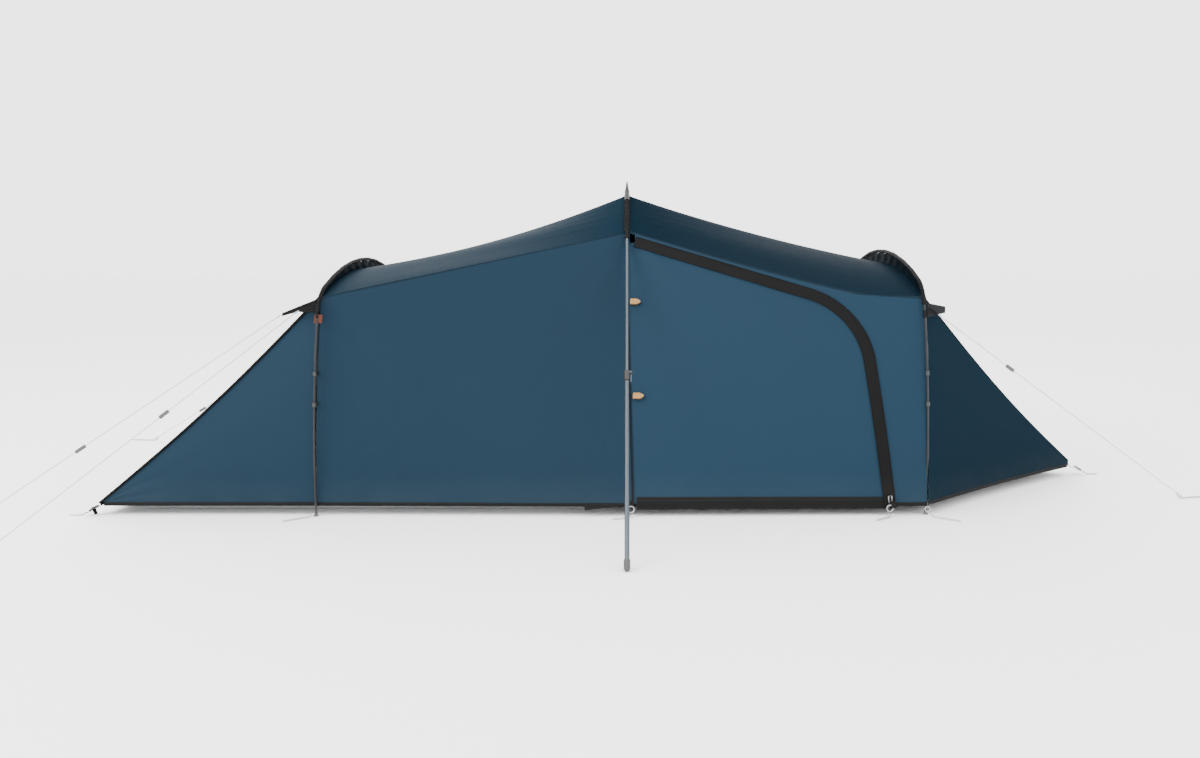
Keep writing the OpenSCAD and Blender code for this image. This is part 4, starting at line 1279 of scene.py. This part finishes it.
def make_inner():
    def roof(u, v):
        return inner_roof_at(lerp(INNER_END_TOP, INNER_HEAD_X - 0.006, u), 2 * v - 1)
    cloth("inner_roof", roof, 50, 30, "inner_cloth", thickness=INNER_CLOTH_T,
          replaces=("inner_canopy",))
    cloth("inner_end", lambda u, v: inner_end_at(2 * u - 1, v), 30, 30, "inner_cloth",
          thickness=INNER_CLOTH_T)
    for side in SIDES:
        def wall(u, v, side=side):
            spot = inner_wall_at(lerp(INNER_END_TOP, INNER_HEAD_X - 0.006, u), v, side)
            spot.y += side * 0.004 * math.sin(22 * u) * swell(v)
            return spot
        cloth(f"inner_wall_{SIDE_NAME[side]}", wall, 60, 30, "inner_cloth",
              thickness=INNER_CLOTH_T)

        def corner(u, v, side=side):
            top = inner_end_at(side, 0.98 * v)
            return top.lerp(Vector((top.x, side * INNER_HALF, TUB_H + 0.001)), u)
        cloth(f"inner_corner_{SIDE_NAME[side]}", corner, 20, 20, "inner_cloth",
              thickness=INNER_CLOTH_T)
    wall_line, door_line = inner_wall_outline(), inner_door_outline()

    def head(u, v):
        angle = math.pi * (2 * u - 1)
        inner, outer = ray_to(door_line, angle), ray_to(wall_line, angle)
        return Vector((INNER_HEAD_X - 0.002, lerp(inner[0], outer[0], v),
                       lerp(inner[1], outer[1], v)))

    def door(u, v):
        edge = ray_to(door_line, math.pi * (2 * u - 1))
        belly = 0.004 * (1 - v * v)
        return Vector((INNER_HEAD_X - 0.002 + belly, lerp(0, edge[0], v) * 0.992,
                       lerp(INNER_DOOR_EYE, edge[1], v * 0.994)))

    for name, surface, finish, slot, body, node in (
            ("inner_head", head, "inner_cloth", "inner_cloth", "root", "inner_head_wall"),
            ("inner_door_mesh", door, "inner_mesh", "inner_mesh", "inner_door", "inner_door")):
        mesh, _, _ = lay(surface, 96, 10, 0, None, closed=True)
        threads = mesh.loops.layers.uv["threads"]
        for face in mesh.faces:
            for loop in face.loops:
                loop[threads].uv = (loop.vert.co.y, loop.vert.co.z)
        rims = sum(e.calc_length() for e in mesh.edges if e.is_boundary)
        area = sum(f.calc_area() for f in mesh.faces) + SEAM_ALLOWANCE * rims
        if sum(f.normal.x for f in mesh.faces) < 0:
            bmesh.ops.reverse_faces(mesh, faces=mesh.faces[:])
        bmesh.ops.solidify(mesh, geom=mesh.faces[:], thickness=0.0007)
        piece = place(mesh, name, finish, body, (node,))

    def door_edge(t):
        y, z = ray_to(door_line, math.pi * (2 * t - 1))
        return Vector((INNER_HEAD_X - 0.0025, y * 0.985, lerp(INNER_DOOR_EYE, z, 0.985)))
    tube("inner_door_binding", door_edge, 0.0032, "trim_plain", "inner_door",
         steps=140, around=8)
    make_tub()


def make_tub():
    """The groundsheet: a floor with its edges turned up and its foot creases softened."""
    low_x, high_x = INNER_FOOT_X + 0.001, INNER_HEAD_X - 0.001
    mesh = bmesh.new()
    threads = mesh.loops.layers.uv.new("threads")
    bmesh.ops.create_grid(mesh, x_segments=24, y_segments=16, size=0.5)
    bmesh.ops.scale(mesh, verts=mesh.verts[:], vec=(high_x - low_x, 2 * INNER_HALF + 0.004, 1))
    bmesh.ops.translate(mesh, verts=mesh.verts[:], vec=((low_x + high_x) / 2, 0, 0.0004))
    rim = [e for e in mesh.edges if e.is_boundary]
    risen = bmesh.ops.extrude_edge_only(mesh, edges=rim)["geom"]
    new = [g for g in risen if isinstance(g, bmesh.types.BMVert)]
    bmesh.ops.translate(mesh, verts=new, vec=(0, 0, TUB_H - 0.001))
    fold = [e for e in mesh.edges if len(e.link_faces) == 2 and e.calc_face_angle() > 0.9]
    bmesh.ops.bevel(mesh, geom=fold, offset=0.010, segments=3, profile=0.5, affect="EDGES",
                    material=-1)
    for face in mesh.faces:
        for loop in face.loops:
            co = loop.vert.co
            loop[threads].uv = (co.x + co.z, co.y + co.z)
    bmesh.ops.recalc_face_normals(mesh, faces=mesh.faces[:])
    if sum(f.normal.z for f in mesh.faces) > 0:
        bmesh.ops.reverse_faces(mesh, faces=mesh.faces[:])
    area = sum(f.calc_area() for f in mesh.faces)
    bmesh.ops.solidify(mesh, geom=mesh.faces[:], thickness=0.0009)
    piece = place(mesh, "groundsheet", "groundsheet_cloth", "root", ("inner_tub",))


# ---- finishes for the frame's own nodes ----------------------------------------------------
NODE_FINISHES = {
    "hoop_metal": ("hoop_pole_left", "hoop_pole_right", "hoop_ferrules"),
    "tube_metal": ("leg_upper_front", "leg_upper_back", "leg_lower_front",
                   "leg_lower_back", "lock_lever_front", "lock_lever_back"),
    "black_moulded": ("hoop_clips", "hoop_feet", "apex_hub", "apex_cap", "lock_collar_front",
                      "lock_collar_back", "strap_buckles"),
    "tensioner": tuple(f"guy_slider_{i}" for i in range(1, 7)),
    "foot_rubber": ("leg_foot_front", "leg_foot_back"),
    "peg_wire": ("ground_pegs", "guy_pegs", "zip_slider"),
    "trim_plain": ("zip_pull",),
    "toggle_amber": ("door_toggle_upper", "door_toggle_lower"),
}


def make_finishes():
    looks = settings()
    for key, build in EFFECTS.items():
        groups[key] = build()
    wall, roof, trim = (tuple(c) for c in (looks.wall_colour, looks.roof_colour, looks.trim_colour))
    mix_fly_cloth("wall_cloth", wall, looks.ripstop)
    # lighter copy of the wall cloth: painted light for the door side, which faces the key light
    mix_fly_cloth("door_side_lit_cloth", tinted(wall, 1.22), looks.ripstop)
    mix_fly_cloth("roof_cloth", roof, looks.ripstop, gloss=0.02)
    # darker copy of the roof cloth: painted shade for the right roof half, which faces away from
    # the key light
    mix_fly_cloth("roof_right_shaded_cloth", tinted(roof, 0.72), looks.ripstop, gloss=0.01)
    mix_fly_cloth("tail_cloth", tinted(wall, 1.02), looks.ripstop)
    # darker copy of the roof cloth: painted shade for the pointed tail, which faces away from the
    # key light
    mix_fly_cloth("tail_right_shaded_cloth", tinted(roof, 0.84), looks.ripstop, gloss=0.01)
    mix_fly_cloth("seam_cloth", tinted(roof, 0.92), looks.ripstop)
    mix_fly_cloth("seam_dark", tinted(roof, 0.30), looks.ripstop)
    mix_fly_cloth("web_cloth", tinted(roof, 0.30), looks.ripstop, gloss=0.01)
    mix_fly_cloth("flap_cloth", tuple(looks.flap_colour), looks.ripstop)
    mix_fly_cloth("patch_cloth", (0.010, 0.011, 0.012), looks.ripstop)
    mix_fly_cloth("inner_cloth", tuple(looks.inner_colour), 0.008, 0.1)
    mix_fly_cloth("groundsheet_cloth", (0.30, 0.31, 0.32), 0.010, 0.1)
    mix_trim("trim_sewn", trim, looks.binding_w)
    mix_trim("trim_plain", trim)
    mix_trim("trim_strap", tinted(trim, 1.2), 0.020)
    mix_trim("loop_strap", (0.060, 0.018, 0.010), 0.034)
    mix_moulded("black_moulded", (0.005, 0.005, 0.0055))
    mix_moulded("tensioner", (0.05, 0.05, 0.052))
    mix_moulded("zip_moulded", (0.008, 0.008, 0.0085), 0.35)
    mix_moulded("foot_rubber", (0.045, 0.045, 0.046), 0.72, 0.00012)
    mix_moulded("toggle_amber", tuple(looks.toggle_colour), 0.26, 0.00003, 0.4)
    # darker toggle brown for the ring in the groove: painted shade in the recess
    mix_moulded("toggle_groove_shade", (0.10, 0.06, 0.025), 0.5)
    mix_metal("hoop_metal", (0.008, 0.0085, 0.0095), 0.42, 0.5)
    mix_metal("tube_metal", (0.085, 0.10, 0.115), 0.40)
    mix_metal("metal_dark", (0.20, 0.21, 0.22), 0.40)
    mix_metal("peg_wire", (0.50, 0.51, 0.53), 0.34)
    mix_braid("guy_braid", tuple(looks.line_colour), (0.22, 0.23, 0.24))
    mix_mesh("inner_mesh", (0.05, 0.052, 0.056))
    mix_floor("studio_floor", tuple(bpy.context.scene.tent_studio.floor_colour))


def finish_nodes():
    """Gives every carried-over node of the frame its finish."""
    given = {}
    for finish, nodes in NODE_FINISHES.items():
        for node in nodes:
            given[node] = finish
    for name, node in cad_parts.items():
        if node.hide_render:
            continue
        if name not in given:
            raise RuntimeError(f"node {name} has no finish")
        node.data.materials.clear()
        node.data.materials.append(material(given[name]))


# ---- stage ---------------------------------------------------------------------------------
SHIFT_X, SHIFT_Y = -0.0225, -0.1067


def soft_panel(name, spot, aim, size, power):
    """One soft box: a square area light."""
    light = bpy.data.lights.new(name, "AREA")
    light.shape = "SQUARE"
    light.size = size
    light.energy = power
    lamp = bpy.data.objects.new(name, light)
    bpy.context.collection.objects.link(lamp)
    lamp.location = spot
    lamp.rotation_euler = (Vector(aim) - Vector(spot)).to_track_quat("-Z", "Y").to_euler()


def set_camera():
    studio = bpy.context.scene.tent_studio
    lens = bpy.data.cameras.new("camera")
    lens.lens = studio.lens
    lens.sensor_width = 36.0
    lens.shift_x = SHIFT_X
    lens.shift_y = SHIFT_Y
    camera = bpy.data.objects.new("camera", lens)
    bpy.context.collection.objects.link(camera)
    camera.location = (0, -studio.eye_back, studio.eye_height)
    camera.rotation_euler = (math.radians(90), 0, 0)
    bpy.context.scene.camera = camera


def set_stage():
    studio = bpy.context.scene.tent_studio
    mesh = bmesh.new()
    mesh.loops.layers.uv.new("threads")
    bmesh.ops.create_grid(mesh, x_segments=4, y_segments=4, size=30.0)
    bmesh.ops.translate(mesh, verts=mesh.verts[:], vec=(0, 0, -0.0008))
    data = bpy.data.meshes.new("floor")
    mesh.to_mesh(data)
    mesh.free()
    data.materials.append(material("studio_floor"))
    floor = bpy.data.objects.new("floor", data)
    bpy.context.collection.objects.link(floor)
    world = bpy.data.worlds.new("studio")
    world.use_nodes = True
    sky = world.node_tree.nodes["Background"]
    sky.inputs["Color"].default_value = (1.0, 1.0, 1.0, 1.0)
    sky.inputs["Strength"].default_value = studio.sky
    bpy.context.scene.world = world
    soft_panel("key", (-4.8, -3.8, 4.2), (0, 0, 0.5), 3.0, studio.key)
    soft_panel("fill", (3.6, -4.4, 3.4), (0.6, 0, 0.5), 3.0, studio.key * 0.2)
    soft_panel("back", (0.0, 5.0, 4.8), (0, 0, 0.5), 4.0, studio.key * 0.3)


# ---- operators -----------------------------------------------------------------------------
class TENT_OT_finishes(bpy.types.Operator):
    """Mix every finish that the pieces use."""

    bl_idname = "tent.finishes"
    bl_label = "Mix finishes"
    bl_options = {"REGISTER", "UNDO"}

    def execute(self, context):
        make_finishes()
        return {"FINISHED"}


class TENT_OT_camera(bpy.types.Operator):
    """Set the camera in front of the door side."""

    bl_idname = "tent.camera"
    bl_label = "Set camera"
    bl_options = {"REGISTER", "UNDO"}

    def execute(self, context):
        set_camera()
        return {"FINISHED"}


class TENT_OT_guys(bpy.types.Operator):
    """Run the six guy lines to their pegs."""

    bl_idname = "tent.guys"
    bl_label = "Lay guys"
    bl_options = {"REGISTER", "UNDO"}

    def execute(self, context):
        make_guys()
        return {"FINISHED"}


class TENT_OT_roof(bpy.types.Operator):
    """Lay both halves of the roof and their seams."""

    bl_idname = "tent.roof"
    bl_label = "Cut roof"
    bl_options = {"REGISTER", "UNDO"}

    def execute(self, context):
        make_roof()
        return {"FINISHED"}


class TENT_OT_walls(bpy.types.Operator):
    """Lay the four walls of the fly."""

    bl_idname = "tent.walls"
    bl_label = "Cut walls"
    bl_options = {"REGISTER", "UNDO"}

    def execute(self, context):
        make_walls()
        return {"FINISHED"}


class TENT_OT_tails(bpy.types.Operator):
    """Lay the wide and the pointed tail."""

    bl_idname = "tent.tails"
    bl_label = "Cut tails"
    bl_options = {"REGISTER", "UNDO"}

    def execute(self, context):
        make_tails()
        return {"FINISHED"}


class TENT_OT_door(bpy.types.Operator):
    """Lay the door, its zip, storm flap and toggles."""

    bl_idname = "tent.door"
    bl_label = "Make door"
    bl_options = {"REGISTER", "UNDO"}

    def execute(self, context):
        make_door()
        return {"FINISHED"}


class TENT_OT_hoops(bpy.types.Operator):
    """Sew the hoops' sleeves and webs."""

    bl_idname = "tent.hoops"
    bl_label = "Sleeve hoops"
    bl_options = {"REGISTER", "UNDO"}

    def execute(self, context):
        make_hoops()
        return {"FINISHED"}


class TENT_OT_a_frame(bpy.types.Operator):
    """Sleeve and mark the legs of the A-frame."""

    bl_idname = "tent.a_frame"
    bl_label = "Dress A-frame"
    bl_options = {"REGISTER", "UNDO"}

    def execute(self, context):
        make_a_frame()
        return {"FINISHED"}


class TENT_OT_bindings(bpy.types.Operator):
    """Bind every lower edge."""

    bl_idname = "tent.bindings"
    bl_label = "Bind hems"
    bl_options = {"REGISTER", "UNDO"}

    def execute(self, context):
        make_bindings()
        return {"FINISHED"}


class TENT_OT_straps(bpy.types.Operator):
    """Sew the straps, tabs, loops and rings."""

    bl_idname = "tent.straps"
    bl_label = "Sew straps"
    bl_options = {"REGISTER", "UNDO"}

    def execute(self, context):
        make_straps()
        return {"FINISHED"}


class TENT_OT_inner(bpy.types.Operator):
    """Hang the inner tent over its groundsheet."""

    bl_idname = "tent.inner"
    bl_label = "Hang inner tent"
    bl_options = {"REGISTER", "UNDO"}

    def execute(self, context):
        make_inner()
        return {"FINISHED"}


class TENT_OT_nodes(bpy.types.Operator):
    """Give poles, pegs and plastics their finish."""

    bl_idname = "tent.nodes"
    bl_label = "Finish hardware"
    bl_options = {"REGISTER", "UNDO"}

    def execute(self, context):
        finish_nodes()
        return {"FINISHED"}


class TENT_OT_stage(bpy.types.Operator):
    """Lay the pale floor and set soft lights."""

    bl_idname = "tent.stage"
    bl_label = "Set stage"
    bl_options = {"REGISTER", "UNDO"}

    def execute(self, context):
        set_stage()
        return {"FINISHED"}


OPERATORS = (
    TENT_OT_finishes, TENT_OT_camera, TENT_OT_guys, TENT_OT_roof, TENT_OT_walls, TENT_OT_tails,
    TENT_OT_door, TENT_OT_hoops, TENT_OT_a_frame, TENT_OT_bindings, TENT_OT_straps, TENT_OT_inner,
    TENT_OT_nodes, TENT_OT_stage,
)


class TENT_PT_looks(bpy.types.Panel):
    """Lists the tent's sizes, colours and steps."""

    bl_label = "Touring tent"
    bl_idname = "TENT_PT_looks"
    bl_space_type = "VIEW_3D"
    bl_region_type = "UI"
    bl_category = "Tent"

    def draw(self, context):
        for group in (context.scene.tent_looks, context.scene.tent_studio):
            for key in group.__annotations__:
                self.layout.prop(group, key)
        for operator in OPERATORS:
            self.layout.operator(operator.bl_idname)


CLASSES = (TentLooks, StudioLooks, *OPERATORS, TENT_PT_looks)


def register():
    for each in CLASSES:
        bpy.utils.register_class(each)
    bpy.types.Scene.tent_looks = bpy.props.PointerProperty(type=TentLooks)
    bpy.types.Scene.tent_studio = bpy.props.PointerProperty(type=StudioLooks)


def unregister():
    del bpy.types.Scene.tent_studio
    del bpy.types.Scene.tent_looks
    for each in reversed(CLASSES):
        bpy.utils.unregister_class(each)


def main():
    register()
    for operator in OPERATORS:
        getattr(bpy.ops.tent, operator.bl_idname.split(".")[1])()


if __name__ == "__main__":
    main()
